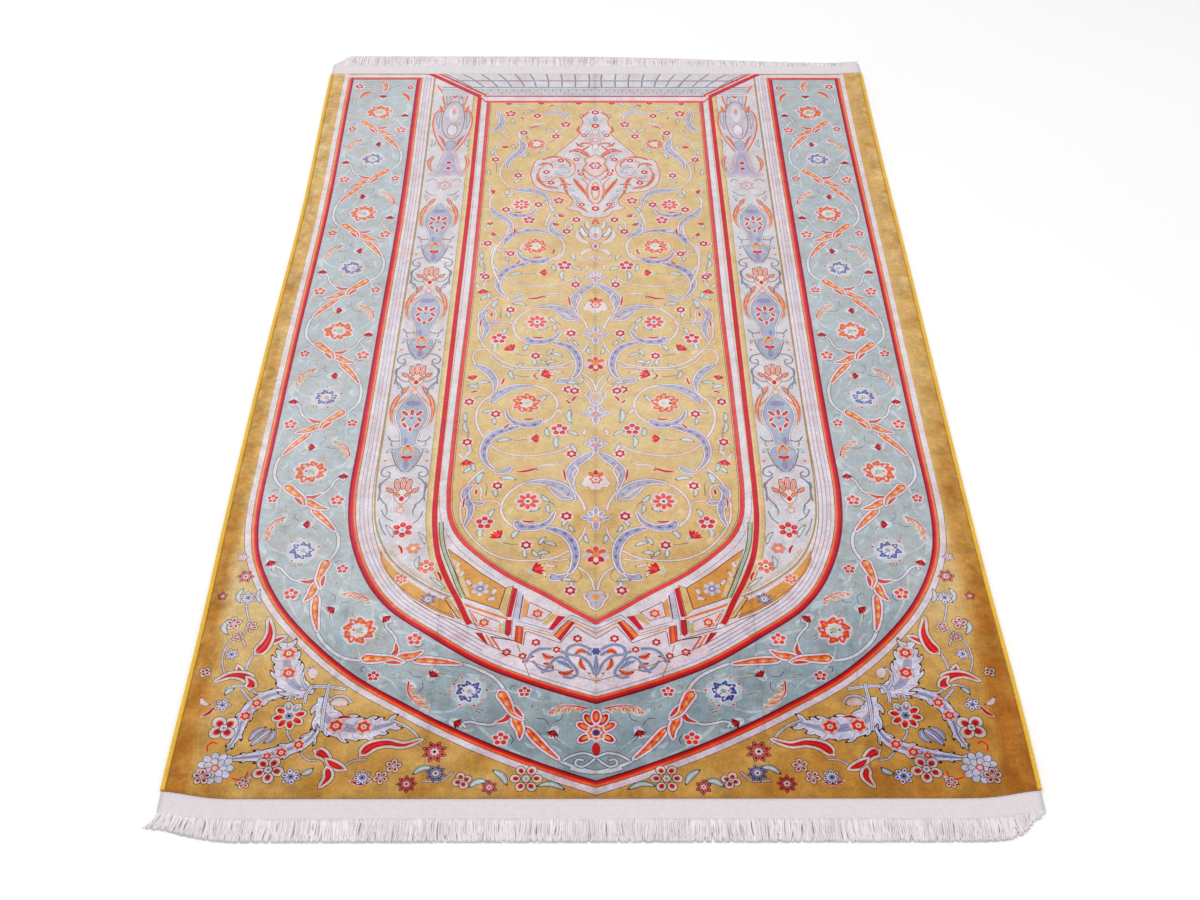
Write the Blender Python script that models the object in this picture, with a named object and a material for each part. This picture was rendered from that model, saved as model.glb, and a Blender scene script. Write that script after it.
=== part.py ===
"""Prayer rug lying flat: one pile slab, two overcast side bindings and a fringed heading at each end.

Metres, +Z up. The origin is the middle of the underside, fringes included. +Y runs along the rug, from the
end with the pointed arch to the far end, and +X to the right of someone standing at the arch end.
"""

import math
import random

import bmesh
import bpy

# Driving sizes
RUG_WIDTH = 0.700  # over the two bindings
PILE_LENGTH = 1.100
PILE_THICKNESS = 0.0060
HEADING_THICKNESS = 0.0022
BINDING_DIAMETER = 0.0046
GAP = 0.0003  # between pieces that touch

# How far each fringe reaches beyond the pile, heading and locks together
NEAR_REACH = 0.0385
NEAR_HEADING = 0.0190
NEAR_LEFT_SHORT = 0.0055  # the near fringe is this much shorter at its left corner
NEAR_LEFT_WIDTH = 0.070
NEAR_RIGHT_SHORT = 0.0160  # and this much at its rounded right corner
NEAR_RIGHT_WIDTH = 0.045
NEAR_RIGHT_INSET = 0.004
FAR_REACH = 0.0500
FAR_HEADING = 0.0250
FAR_LEFT_SHORT = 0.0200  # the far fringe is rounded at its left corner
FAR_LEFT_WIDTH = 0.026
FAR_LEFT_INSET = 0.003
FAR_TAPER = 0.0170  # and combed shorter towards its right
FAR_TAPER_START_X = -0.050
FAR_TAPER_WIDTH = 0.420

# Where the cut edges of the pile stray from a true rectangle
CORNER_PULL = 0.0070  # the near corners lie this much further in than the near edge's middle
CORNER_PULL_REACH = 0.070
FAR_CORNER_RISE = 0.0045  # the far right corner stands out
FAR_CORNER_REACH = 0.045
SIDE_STRAYS = (
    # side, distance of the middle from the near edge, half length, shift towards +x
    (-1, 0.800, 0.190, 0.0044),
    (-1, 0.170, 0.090, 0.0012),
    (1, 0.060, 0.130, 0.0028),
    (1, 0.450, 0.250, -0.0016),
    (1, 0.960, 0.300, -0.0034),
)

# Fringe locks
LOCKS = 140  # at each end
LOCK_SHARE = 0.76  # of the pitch, at the root
LOCK_STEPS = ((0.55, 0.84, 0.80), (1.00, 0.46, 0.36))  # share of length, of width, of thickness
LOCK_LEAN = 0.0011  # sideways stray of a tip
LOCK_UNEVEN = 0.0016  # stray of a tip's reach
LOCK_SEED = 11
NEAR_SPLAYS = (
    # sideways lean of the tips, share of the end where it stops, share where it is full
    (-0.0075, 0.07, 0.00),
    (-0.0045, 0.95, 1.00),
)
FAR_SPLAYS = ((0.0040, 0.04, 0.00),)
SPLAY_WAVES = ((0.0012, 41.0, 0.0), (0.0008, 97.0, 1.0))  # height, waves' rate, phase along the end

# The pile's surface: mesh pitch, the rolled edge and the soft creases left by folding
PILE_COLUMNS = 26
PILE_ROWS = 42
BINDING_POINTS = 40
EDGE_RINGS = (0.0, 0.0022, 0.0070)  # distances from the edge of the first grid lines
EDGE_ROLL = 0.0018  # how far the pile drops at its very edge
EDGE_ROLL_WIDTH = 0.0070
CREASES = (
    # centre x, centre y, half width, half length, turn in degrees, height
    (0.004, -0.155, 0.010, 0.085, 0.0, -0.0007),
    (0.028, -0.160, 0.022, 0.070, 12.0, 0.0006),
    (-0.040, -0.215, 0.030, 0.060, 75.0, 0.0005),
    (0.045, -0.262, 0.020, 0.065, 80.0, -0.0006),
    (-0.255, -0.330, 0.050, 0.110, 20.0, 0.0006),
    (0.285, -0.300, 0.045, 0.120, -14.0, 0.0006),
    (-0.120, 0.180, 0.060, 0.130, 65.0, 0.0004),
    (0.150, 0.330, 0.060, 0.150, 80.0, -0.0004),
)

HALF_WIDTH = RUG_WIDTH / 2
NEAR_EDGE_Y = -(PILE_LENGTH + FAR_REACH - NEAR_REACH) / 2
FAR_EDGE_Y = NEAR_EDGE_Y + PILE_LENGTH
PILE_HALF_WIDTH = HALF_WIDTH - BINDING_DIAMETER - GAP


def smooth(t):
    """0 to 1 with level ends."""
    t = min(1.0, max(0.0, t))
    return t * t * (3 - 2 * t)


def side_stray(x, y):
    """How far the rug strays towards +x at this place: most at its two sides, nothing on its middle line."""
    side = 1 if x > 0 else -1
    along = y - NEAR_EDGE_Y
    shift = 0.0
    for stray_side, middle, half_length, full in SIDE_STRAYS:
        if stray_side == side:
            shift += full * math.exp(-(((along - middle) / half_length) ** 2))
    return shift * smooth(abs(x) / HALF_WIDTH)


def near_edge(x):
    """The y of the pile's near edge."""
    from_side = HALF_WIDTH - abs(x)
    return NEAR_EDGE_Y + CORNER_PULL * (1 - smooth(from_side / CORNER_PULL_REACH)) ** 2


def far_edge(x):
    """The y of the pile's far edge."""
    from_right = HALF_WIDTH - x
    return FAR_EDGE_Y + FAR_CORNER_RISE * (1 - smooth(from_right / FAR_CORNER_REACH))


def crease_height(x, y):
    """Sum of the soft troughs and ridges at a point of the pile."""
    height = 0.0
    for centre_x, centre_y, half_width, half_length, turn, rise in CREASES:
        angle = math.radians(turn)
        across = (x - centre_x) * math.cos(angle) + (y - centre_y) * math.sin(angle)
        along = (y - centre_y) * math.cos(angle) - (x - centre_x) * math.sin(angle)
        height += rise * math.exp(-((across / half_width) ** 2) - (along / half_length) ** 2)
    return height


def pile_top(x, y, from_edge):
    """Height of the pile's surface, rolled over at its edges."""
    roll = 1 - min(1.0, from_edge / EDGE_ROLL_WIDTH)
    return PILE_THICKNESS + crease_height(x, y) * (1 - roll) - EDGE_ROLL * roll * roll


def grid_stops(count, length):
    """Distances of the grid lines from one edge: the edge rings at both ends and an even pitch between."""
    inner = length - 2 * EDGE_RINGS[-1]
    even = count - 2 * (len(EDGE_RINGS) - 1)
    middle = [EDGE_RINGS[-1] + inner * i / even for i in range(1, even)]
    return list(EDGE_RINGS) + middle + [length - ring for ring in reversed(EDGE_RINGS)]


def edge_on_grid(edge, x):
    """The y of an edge of the pile slab at x, where its straight stretches between grid lines lie."""
    stops = [stop - PILE_HALF_WIDTH for stop in grid_stops(PILE_COLUMNS, 2 * PILE_HALF_WIDTH)]
    stops = [-HALF_WIDTH] + stops + [HALF_WIDTH]
    for start, end in zip(stops, stops[1:]):
        if x <= end:
            share = (x - start) / (end - start)
            return edge(start) * (1 - share) + edge(end) * share
    return edge(x)


def material(name, colour, roughness):
    """A Principled BSDF in one colour."""
    made = bpy.data.materials.new(name)
    made.use_nodes = True
    shader = made.node_tree.nodes["Principled BSDF"]
    shader.inputs["Base Color"].default_value = (*colour, 1.0)
    shader.inputs["Roughness"].default_value = roughness
    shader.inputs["Metallic"].default_value = 0.0
    return made


def clear_scene():
    for old in list(bpy.data.objects):
        bpy.data.objects.remove(old, do_unlink=True)


def finish_mesh(work, name, parts, look, smooth_angle=35.0):
    """Puts a bmesh into the parts collection as a named, smooth-shaded object."""
    bmesh.ops.recalc_face_normals(work, faces=work.faces)
    mesh = bpy.data.meshes.new(name)
    work.to_mesh(mesh)
    work.free()
    mesh.materials.append(look)
    mesh.shade_smooth()
    mesh.set_sharp_from_angle(angle=math.radians(smooth_angle))
    made = bpy.data.objects.new(name, mesh)
    parts.objects.link(made)
    return made


def make_pile(parts, look):
    """The pile slab: a grid for its surface, drawn down to a flat underside."""
    stops_x = grid_stops(PILE_COLUMNS, 2 * PILE_HALF_WIDTH)
    stops_y = grid_stops(PILE_ROWS, PILE_LENGTH)
    work = bmesh.new()
    bmesh.ops.create_grid(work, x_segments=PILE_COLUMNS, y_segments=PILE_ROWS, size=1.0)
    for vertex in work.verts:
        column = round((vertex.co.x + 1) / 2 * PILE_COLUMNS)
        row = round((vertex.co.y + 1) / 2 * PILE_ROWS)
        x = stops_x[column] - PILE_HALF_WIDTH
        share = stops_y[row] / PILE_LENGTH
        y = near_edge(x) * (1 - share) + far_edge(x) * share
        from_x = min(stops_x[column], 2 * PILE_HALF_WIDTH - stops_x[column])
        from_y = min(stops_y[row], PILE_LENGTH - stops_y[row])
        height = pile_top(x, y, min(from_x, from_y))
        vertex.co = (x + side_stray(x, y), y, height)
    drawn = bmesh.ops.extrude_face_region(work, geom=list(work.faces))
    under = [item for item in drawn["geom"] if isinstance(item, bmesh.types.BMVert)]
    under_faces = [item for item in drawn["geom"] if isinstance(item, bmesh.types.BMFace)]
    for vertex in under:
        vertex.co.z = 0.0
    bmesh.ops.dissolve_faces(work, faces=under_faces, use_verts=True)
    bmesh.ops.triangulate(work, faces=work.faces)
    return finish_mesh(work, "pile", parts, look)


def make_binding(name, side, parts, look):
    """One overcast side cord, a tube along the pile's long edge. side is -1 for left and 1 for right."""
    radius = BINDING_DIAMETER / 2
    curve = bpy.data.curves.new(name, "CURVE")
    curve.dimensions = "3D"
    curve.bevel_depth = radius
    curve.bevel_resolution = 2
    curve.use_fill_caps = True
    spline = curve.splines.new("POLY")
    spline.points.add(BINDING_POINTS - 1)
    x = side * (HALF_WIDTH - radius)
    start = near_edge(x) + GAP
    end = far_edge(x) - GAP
    for i, point in enumerate(spline.points):
        y = start + (end - start) * i / (BINDING_POINTS - 1)
        point.co = (x + side_stray(x, y), y, radius, 1.0)
    curve.materials.append(look)
    made = bpy.data.objects.new(name, curve)
    parts.objects.link(made)
    return made


def near_reach(x):
    """How far the near fringe reaches beyond the middle line of the near edge."""
    from_left = HALF_WIDTH + x
    from_right = HALF_WIDTH - x
    left = NEAR_LEFT_SHORT * (1 - smooth(from_left / NEAR_LEFT_WIDTH))
    right = NEAR_RIGHT_SHORT * (1 - smooth((from_right + NEAR_RIGHT_INSET) / NEAR_RIGHT_WIDTH)) ** 1.5
    return NEAR_REACH - left - right


def far_reach(x):
    """How far the far fringe reaches beyond the middle line of the far edge."""
    from_left = HALF_WIDTH + x
    taper = FAR_TAPER * smooth((x - FAR_TAPER_START_X) / FAR_TAPER_WIDTH)
    left = FAR_LEFT_SHORT * (1 - smooth((from_left + FAR_LEFT_INSET) / FAR_LEFT_WIDTH)) ** 1.5
    return FAR_REACH - taper - left


def lock_splay(share, near):
    """Sideways lean of a tip, in metres, by its place along the end: 0 at the left and 1 at the right."""
    lean = sum(height * math.sin(share * rate + phase) for height, rate, phase in SPLAY_WAVES)
    for full, stops, fullest in NEAR_SPLAYS if near else FAR_SPLAYS:
        lean += full * smooth((share - stops) / (fullest - stops))
    return lean


def make_fringe(name, near, parts, look):
    """A woven heading strip with a lock drawn out of every other stretch of its outer side."""
    chance = random.Random(LOCK_SEED + int(near))
    outward = -1 if near else 1
    heading = NEAR_HEADING if near else FAR_HEADING
    pitch = RUG_WIDTH / LOCKS
    margin = pitch * (1 - LOCK_SHARE) / 2
    stops = [-HALF_WIDTH]
    for i in range(LOCKS):
        start = -HALF_WIDTH + i * pitch
        stops += [start + margin, start + pitch - margin]
    stops.append(HALF_WIDTH)

    work = bmesh.new()
    bmesh.ops.create_grid(work, x_segments=len(stops) - 1, y_segments=1, size=1.0)
    for vertex in work.verts:
        column = round((vertex.co.x + 1) / 2 * (len(stops) - 1))
        x = stops[column]
        edge = near_edge if near else far_edge
        is_outer = (vertex.co.y > 0) != near
        y = edge(x) + outward * heading if is_outer else edge_on_grid(edge, x) + outward * GAP
        vertex.co = (x + side_stray(x, edge(x)), y, HEADING_THICKNESS)
    drawn = bmesh.ops.extrude_face_region(work, geom=list(work.faces))
    for item in drawn["geom"]:
        if isinstance(item, bmesh.types.BMVert):
            item.co.z = 0.0
    bmesh.ops.recalc_face_normals(work, faces=work.faces)

    roots = []
    for face in work.faces:
        centre = face.calc_center_median()
        faces_out = abs(face.normal.y) > 0.7 and face.normal.y * outward > 0
        if faces_out:
            roots.append(face)
    roots.sort(key=lambda face: face.calc_center_median().x)
    roots = roots[1::2]  # every other stretch is a lock's root

    for face in roots:
        root_x = face.calc_center_median().x
        root_y = face.calc_center_median().y
        half = max(vertex.co.x for vertex in face.verts) - root_x
        tip_y = (NEAR_EDGE_Y - near_reach(root_x)) if near else (FAR_EDGE_Y + far_reach(root_x))
        length = abs(tip_y - root_y) - LOCK_UNEVEN * chance.random()
        lean = lock_splay((root_x + HALF_WIDTH) / RUG_WIDTH, near) + LOCK_LEAN * (chance.random() - 0.5)
        end = face
        for share, width, thickness in LOCK_STEPS:
            end = bmesh.ops.extrude_discrete_faces(work, faces=[end])["faces"][0]
            by_side = sorted(end.verts, key=lambda vertex: vertex.co.x)
            for i, vertex in enumerate(by_side):
                side = -1 if i < 2 else 1
                on_top = vertex.co.z > 0
                vertex.co.x = root_x + lean * share * share + side * half * width
                vertex.co.y = root_y + outward * length * share
                vertex.co.z = HEADING_THICKNESS * thickness if on_top else 0.0
    bmesh.ops.triangulate(work, faces=work.faces)
    return finish_mesh(work, name, parts, look)


def main():
    clear_scene()
    parts = bpy.data.collections.new("prayer_rug")
    bpy.context.scene.collection.children.link(parts)
    gold = material("pile_gold", (0.66, 0.42, 0.11), 0.55)
    yellow = material("binding_yellow", (0.90, 0.66, 0.05), 0.6)
    white = material("fringe_white", (0.80, 0.76, 0.78), 0.7)
    make_pile(parts, gold)
    make_binding("binding_left", -1, parts, yellow)
    make_binding("binding_right", 1, parts, yellow)
    make_fringe("fringe_near", True, parts, white)
    make_fringe("fringe_far", False, parts, white)


main()
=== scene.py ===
"""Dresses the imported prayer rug: pile with its pattern, ground cloth, side cords, headings and fringes.

The pattern is drawn in millimetres on the flat rug, as complex numbers x + yj: x from the left side, y from
the near edge of the pile. It is painted shape over shape, cut into triangles, and laid on the pile's surface.
"""

import cmath
import copy
import math
import random

import bmesh
import bpy
import mathutils
import numpy as np
from mathutils.geometry import delaunay_2d_cdt
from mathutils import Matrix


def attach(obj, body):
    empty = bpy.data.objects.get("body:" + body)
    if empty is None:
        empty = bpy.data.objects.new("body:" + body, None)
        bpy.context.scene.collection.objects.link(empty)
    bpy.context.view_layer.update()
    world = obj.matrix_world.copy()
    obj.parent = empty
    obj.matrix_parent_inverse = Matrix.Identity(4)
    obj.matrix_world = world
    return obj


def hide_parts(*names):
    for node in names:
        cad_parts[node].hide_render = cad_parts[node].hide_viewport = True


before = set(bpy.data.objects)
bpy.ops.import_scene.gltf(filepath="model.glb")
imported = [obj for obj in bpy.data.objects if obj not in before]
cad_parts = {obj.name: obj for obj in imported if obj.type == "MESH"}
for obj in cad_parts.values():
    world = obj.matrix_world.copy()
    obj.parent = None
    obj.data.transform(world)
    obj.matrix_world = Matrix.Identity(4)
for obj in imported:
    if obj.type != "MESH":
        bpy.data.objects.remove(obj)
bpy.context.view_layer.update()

# ---------------------------------------------------------------- sizes, in metres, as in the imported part
RUG_WIDTH = 0.700
PILE_LENGTH = 1.100
PILE_THICKNESS = 0.0060
HEADING_THICKNESS = 0.0022
BINDING_DIAMETER = 0.0046
GAP = 0.0003
NEAR_REACH = 0.0385
NEAR_HEADING = 0.0190
NEAR_LEFT_SHORT = 0.0055
NEAR_LEFT_WIDTH = 0.070
NEAR_RIGHT_SHORT = 0.0160
NEAR_RIGHT_WIDTH = 0.045
NEAR_RIGHT_INSET = 0.004
FAR_REACH = 0.0500
FAR_HEADING = 0.0250
FAR_LEFT_SHORT = 0.0200
FAR_LEFT_WIDTH = 0.026
FAR_LEFT_INSET = 0.003
FAR_TAPER = 0.0170
FAR_TAPER_START_X = -0.050
FAR_TAPER_WIDTH = 0.420
CORNER_PULL = 0.0070
CORNER_PULL_REACH = 0.070
FAR_CORNER_RISE = 0.0045
FAR_CORNER_REACH = 0.045
SIDE_STRAYS = (
    # side, distance of the middle from the near edge, half length, shift towards +x
    (-1, 0.800, 0.190, 0.0044),
    (-1, 0.170, 0.090, 0.0012),
    (1, 0.060, 0.130, 0.0028),
    (1, 0.450, 0.250, -0.0016),
    (1, 0.960, 0.300, -0.0034),
)
NEAR_SPLAYS = (
    # sideways lean of the tips, share of the end where it stops, share where it is full
    (-0.0075, 0.07, 0.00),
    (-0.0045, 0.95, 1.00),
)
FAR_SPLAYS = ((0.0040, 0.04, 0.00),)
SPLAY_WAVES = ((0.0012, 41.0, 0.0), (0.0008, 97.0, 1.0))
EDGE_ROLL = 0.0018
EDGE_ROLL_WIDTH = 0.0070
CREASES = (
    # centre x, centre y, half width, half length, turn in degrees, height
    (0.004, -0.155, 0.010, 0.085, 0.0, -0.0007),
    (0.028, -0.160, 0.022, 0.070, 12.0, 0.0006),
    (-0.040, -0.215, 0.030, 0.060, 75.0, 0.0005),
    (0.045, -0.262, 0.020, 0.065, 80.0, -0.0006),
    (-0.255, -0.330, 0.050, 0.110, 20.0, 0.0006),
    (0.285, -0.300, 0.045, 0.120, -14.0, 0.0006),
    (-0.120, 0.180, 0.060, 0.130, 65.0, 0.0004),
    (0.150, 0.330, 0.060, 0.150, 80.0, -0.0004),
)
GROUND_THICKNESS = 0.0013  # the woven ground cloth under the pile

HALF_WIDTH = RUG_WIDTH / 2
NEAR_EDGE_Y = -(PILE_LENGTH + FAR_REACH - NEAR_REACH) / 2
FAR_EDGE_Y = NEAR_EDGE_Y + PILE_LENGTH
PILE_HALF_WIDTH = HALF_WIDTH - BINDING_DIAMETER - GAP


def smooth(t):
    """0 to 1 with level ends."""
    t = np.clip(t, 0.0, 1.0)
    return t * t * (3 - 2 * t)


def side_stray(x, y):
    """How far the rug strays towards +x at this place."""
    along = y - NEAR_EDGE_Y
    shift = 0.0
    for side, middle, half_length, full in SIDE_STRAYS:
        on_side = np.asarray(x) * side > 0
        shift = shift + on_side * full * np.exp(-(((along - middle) / half_length) ** 2))
    return shift * smooth(np.abs(x) / HALF_WIDTH)


def near_edge(x):
    """The pile's near edge, drawn in at its corners."""
    from_side = HALF_WIDTH - np.abs(x)
    return NEAR_EDGE_Y + CORNER_PULL * (1 - smooth(from_side / CORNER_PULL_REACH)) ** 2


def far_edge(x):
    """The pile's far edge, which rises at its right corner."""
    return FAR_EDGE_Y + FAR_CORNER_RISE * (1 - smooth((HALF_WIDTH - x) / FAR_CORNER_REACH))


def near_reach(x):
    """How far the near fringe reaches from the pile."""
    from_left = HALF_WIDTH + x
    from_right = HALF_WIDTH - x
    left = NEAR_LEFT_SHORT * (1 - smooth(from_left / NEAR_LEFT_WIDTH))
    right = NEAR_RIGHT_SHORT * (1 - smooth((from_right + NEAR_RIGHT_INSET) / NEAR_RIGHT_WIDTH)) ** 1.5
    return NEAR_REACH - left - right


def far_reach(x):
    """How far the far fringe reaches from the pile."""
    from_left = HALF_WIDTH + x
    taper = FAR_TAPER * smooth((x - FAR_TAPER_START_X) / FAR_TAPER_WIDTH)
    left = FAR_LEFT_SHORT * (1 - smooth((from_left + FAR_LEFT_INSET) / FAR_LEFT_WIDTH)) ** 1.5
    return FAR_REACH - taper - left


def lock_splay(share, near):
    """Sideways lean of a strand's tip, by its place along the end."""
    lean = sum(height * math.sin(share * rate + phase) for height, rate, phase in SPLAY_WAVES)
    for full, stops, fullest in NEAR_SPLAYS if near else FAR_SPLAYS:
        lean += full * smooth((share - stops) / (fullest - stops))
    return lean


def crease_height(x, y):
    """Rise and fall of the soft creases."""
    height = 0.0
    for centre_x, centre_y, half_width, half_length, turn, rise in CREASES:
        angle = math.radians(turn)
        across = (x - centre_x) * math.cos(angle) + (y - centre_y) * math.sin(angle)
        along = (y - centre_y) * math.cos(angle) - (x - centre_x) * math.sin(angle)
        height = height + rise * np.exp(-((across / half_width) ** 2) - (along / half_length) ** 2)
    return height


def pile_top(x, y):
    """Height of the pile's surface, rolled over at its edges. x and y are arrays of flat places."""
    from_side = PILE_HALF_WIDTH - np.abs(x)
    from_end = np.minimum(y - near_edge(x), far_edge(x) - y)
    from_edge = np.maximum(0.0, np.minimum(from_side, from_end))
    roll = 1 - np.minimum(1.0, from_edge / EDGE_ROLL_WIDTH)
    return PILE_THICKNESS + crease_height(x, y) * (1 - roll) - EDGE_ROLL * roll * roll


# ---------------------------------------------------------------- dyes, as sRGB out of 255
DYES = {
    "gold": (227, 202, 152),
    "margin": (222, 187, 126),
    "gold_pale": (232, 213, 176),
    "amber": (206, 156, 84),
    "panel": (230, 180, 112),
    "cream": (232, 208, 166),
    "teal": (192, 203, 209),
    "mist": (226, 228, 234),
    "white": (234, 226, 234),
    "lamp": (222, 220, 227),
    "lilac": (212, 208, 224),
    "ivory": (232, 226, 224),
    "blush": (236, 218, 222),
    "rose": (228, 158, 160),
    "crimson": (218, 64, 82),
    "red": (240, 102, 102),
    "maroon": (170, 52, 76),
    "wine": (178, 46, 66),
    "orange": (240, 160, 104),
    "coral": (234, 120, 96),
    "apricot": (240, 188, 136),
    "lavender": (190, 188, 214),
    "violet": (164, 160, 202),
    "sky": (186, 198, 214),
    "vase": (180, 190, 212),
    "blue": (122, 130, 190),
    "navy": (84, 84, 140),
    "sage": (190, 206, 186),
    "leaf": (204, 214, 210),
    "olive": (184, 166, 110),
    "umber": (140, 106, 98),
    "plum": (158, 132, 158),
    "slate": (150, 148, 164),
    "taupe": (178, 146, 140),
    "haze": (210, 218, 224),
    "frost": (232, 230, 240),
    "side": (206, 172, 116),
    "margin_mid": (225, 194, 138),
    "hair": (194, 184, 202),
    "grey_lilac": (204, 202, 220),
    "pale": (236, 226, 228),
    "petal": (236, 196, 186),
}

AXIS = 347.0  # the pattern's mirror line
LINE_STEP = 1.6  # spacing of the points on a drawn line
SEED = 7


def linear(colour):
    """Linear light from sRGB out of 255."""
    shares = np.asarray(colour, float) / 255
    return np.where(shares <= 0.04045, shares / 12.92, ((shares + 0.055) / 1.055) ** 2.4)


DYE_NAMES = list(DYES)
DYE_VALUES = np.array([linear(DYES[name]) for name in DYE_NAMES])


def places(*numbers):
    """Complex places from x, y, x, y and so on."""
    return [complex(x, y) for x, y in zip(numbers[::2], numbers[1::2])]


def smooth_line(points, step=LINE_STEP):
    """A smooth curve through the points, with slopes weighted by the gaps between them."""
    if len(points) < 3:
        return list(points)
    gaps = [abs(b - a) for a, b in zip(points, points[1:])]
    runs = [(b - a) / gap for a, b, gap in zip(points, points[1:], gaps)]
    slopes = [runs[0]]
    for i in range(1, len(points) - 1):
        slopes.append((runs[i - 1] * gaps[i] + runs[i] * gaps[i - 1]) / (gaps[i - 1] + gaps[i]))
    slopes.append(runs[-1])
    line = []
    for i, gap in enumerate(gaps):
        pieces = max(1, round(gap / step))
        for k in range(pieces):
            t = k / pieces
            rise = t * t * (3 - 2 * t)
            bend = slopes[i] * t * (1 - t) ** 2 - slopes[i + 1] * t * t * (1 - t)
            line.append(points[i] * (1 - rise) + points[i + 1] * rise + bend * gap)
    line.append(points[-1])
    return line


def beside(line, offset):
    """The line moved sideways, to its left for a positive offset."""
    moved = []
    for i, point in enumerate(line):
        ahead = line[min(i + 1, len(line) - 1)] - line[max(i - 1, 0)]
        moved.append(point + 1j * ahead / abs(ahead) * offset)
    if line[-1].real != AXIS:
        return moved
    # lines that end on the axis are mitred there
    while len(moved) > 2 and moved[-1].real > AXIS:
        moved.pop()
    ahead = moved[-1] - moved[-2]
    if ahead.real > 0:
        moved.append(moved[-1] + ahead * (AXIS - moved[-1].real) / ahead.real)
    return moved


def thinned(points):
    """An outline without the points that a straight edge passes closely."""
    kept = [points[0]]
    start = 0
    while start < len(points) - 1:
        end = start + 1
        while end + 1 < len(points) and passes(points, start, end + 1):
            end += 1
        kept.append(points[end])
        start = end
    return kept


def passes(points, start, end):
    """Whether a straight edge between two points of an outline is short and close to those between them."""
    edge = points[end] - points[start]
    length = abs(edge)
    if length > LONGEST_EDGE or length == 0:
        return False
    turned = edge.conjugate() / length
    return all(abs(((p - points[start]) * turned).imag) < EDGE_SLACK for p in points[start + 1 : end])


def swell(t):
    """Widest in the middle, narrow at both ends."""
    return math.sin(math.pi * t) ** 0.8


def club(t):
    """A round head at the start and a long taper."""
    if t < 0.16:
        return math.sqrt(max(0.0, 1 - (1 - t / 0.16) ** 2))
    return (1 - (t - 0.16) / 0.84) ** 0.85


def crescent(t):
    """Widest before the middle."""
    return math.sin(math.pi * t**0.62) ** 0.9


def thorn(t):
    """Widest at its start."""
    return (1 - t) ** 0.8


def drop(t):
    """Widest near its round end."""
    return math.sin(math.pi * t**1.7) ** 0.75


SHAPES = {
    "stem": lambda t: 1.0,
    "leaf": swell,
    "club": club,
    "crescent": crescent,
    "thorn": thorn,
    "drop": drop,
}

# A look is painted from its widest band to its narrowest.
LOOKS = {
    # share of the shape's width, growth in mm, dye
    "stem": ((1.7, 0.5, "taupe"), (1.7, 0.0, "pale")),
    "thin": ((1.0, 0.0, "taupe"),),
    "twig": ((1.2, 0.1, "slate"),),
    "mist_stem": ((2.0, 0.7, "slate"), (2.0, 0.0, "mist")),
    "haze_stem": ((1.0, 0.0, "haze"),),
    "haze_bar": ((1.0, 0.6, "haze"), (1.0, 0.3, "slate")),
    "lavender": (
        (1.0, 2.5, "plum"),
        (1.0, 2.0, "pale"),
        (1.0, 0.35, "plum"),
        (1.0, -0.1, "lavender"),
        (0.42, -0.1, "sky"),
    ),
    "violet": (
        (1.0, 2.5, "plum"),
        (1.0, 2.0, "pale"),
        (1.0, 0.35, "plum"),
        (1.0, -0.1, "lavender"),
        (0.40, -0.1, "violet"),
    ),
    "sky": (
        (1.0, 2.4, "plum"),
        (1.0, 1.9, "pale"),
        (1.0, 0.3, "plum"),
        (1.0, -0.1, "sky"),
        (0.36, -0.1, "lavender"),
    ),
    "flame": (
        (0.84, 3.1, "slate"),
        (0.84, 2.5, "white"),
        (0.84, 0.5, "crimson"),
        (0.84, -0.1, "orange"),
        (0.30, -0.2, "apricot"),
    ),
    "spark": ((1.0, 1.5, "mist"), (1.0, 0.1, "crimson"), (0.55, -0.1, "coral")),
    "feather": ((1.0, 0.8, "cream"), (1.0, 0.0, "rose"), (0.5, 0.0, "coral"), (0.16, 0.0, "wine")),
    "greenery": ((1.1, 0.7, "slate"), (1.1, 0.0, "leaf"), (0.45, -0.1, "mist")),
    "sprig": ((1.0, 0.2, "haze"), (0.7, 0.0, "olive")),
    "faint": ((1.2, 0.0, "gold_pale"),),
    "cream_leaf": ((1.1, 0.4, "taupe"), (1.1, 0.0, "blush"), (0.4, 0.0, "ivory")),
    "ember": ((1.0, 0.5, "blush"), (1.0, 0.0, "coral"), (0.4, 0.0, "wine")),
    "ruby": (
        (1.0, 3.0, "umber"),
        (1.0, 2.4, "ivory"),
        (1.0, 0.2, "rose"),
        (1.0, -0.25, "crimson"),
        (0.35, -0.1, "red"),
    ),
    "lobe_edge": ((1.0, 0.8, "umber"),),
    "lobe": ((1.0, 0.0, "frost"),),
    "vein": ((0.16, 0.12, "vase"),),
    "shade": ((0.36, 0.0, "grey_lilac"),),
    "rib": ((1.3, 0.5, "umber"), (1.3, 0.0, "frost"), (0.3, 0.0, "vase")),
    "blue_leaf": ((1.0, 0.55, "umber"), (1.0, 0.0, "lilac"), (0.7, -0.1, "vase"), (0.25, -0.1, "frost")),
    "scroll": ((1.0, 0.35, "wine"), (1.0, 0.0, "apricot"), (0.66, 0.0, "coral"), (0.2, 0.0, "crimson")),
    "blue_scroll": ((1.0, 0.3, "slate"), (1.0, 0.0, "mist"), (0.72, 0.0, "blue"), (0.25, 0.0, "sky")),
    "arm": (
        (1.0, 1.1, "slate"),
        (1.0, 0.8, "ivory"),
        (1.0, 0.1, "wine"),
        (0.8, 0.0, "coral"),
        (0.35, 0.0, "apricot"),
    ),
    "outline": ((1.0, 0.4, "apricot"), (1.0, 0.0, "coral")),
}
PATCHES = {
    # look, dyes of its patches
    "lavender": ("sky", "violet"),
    "violet": ("sky", "blue"),
    "flame": ("gold_pale", "coral"),
}
LONGEST_EDGE = 8.0  # mm, so that an edge follows the pile's rise and fall
EDGE_SLACK = 0.045
LEAST_AREA = 0.02
THINNEST = 0.1  # half width under which a blade isn't drawn
PATCH_SPACING = 5
PATCHED_WIDTH = 3  # a leaf carries patches where it is wider
UP = math.pi / 2


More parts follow.
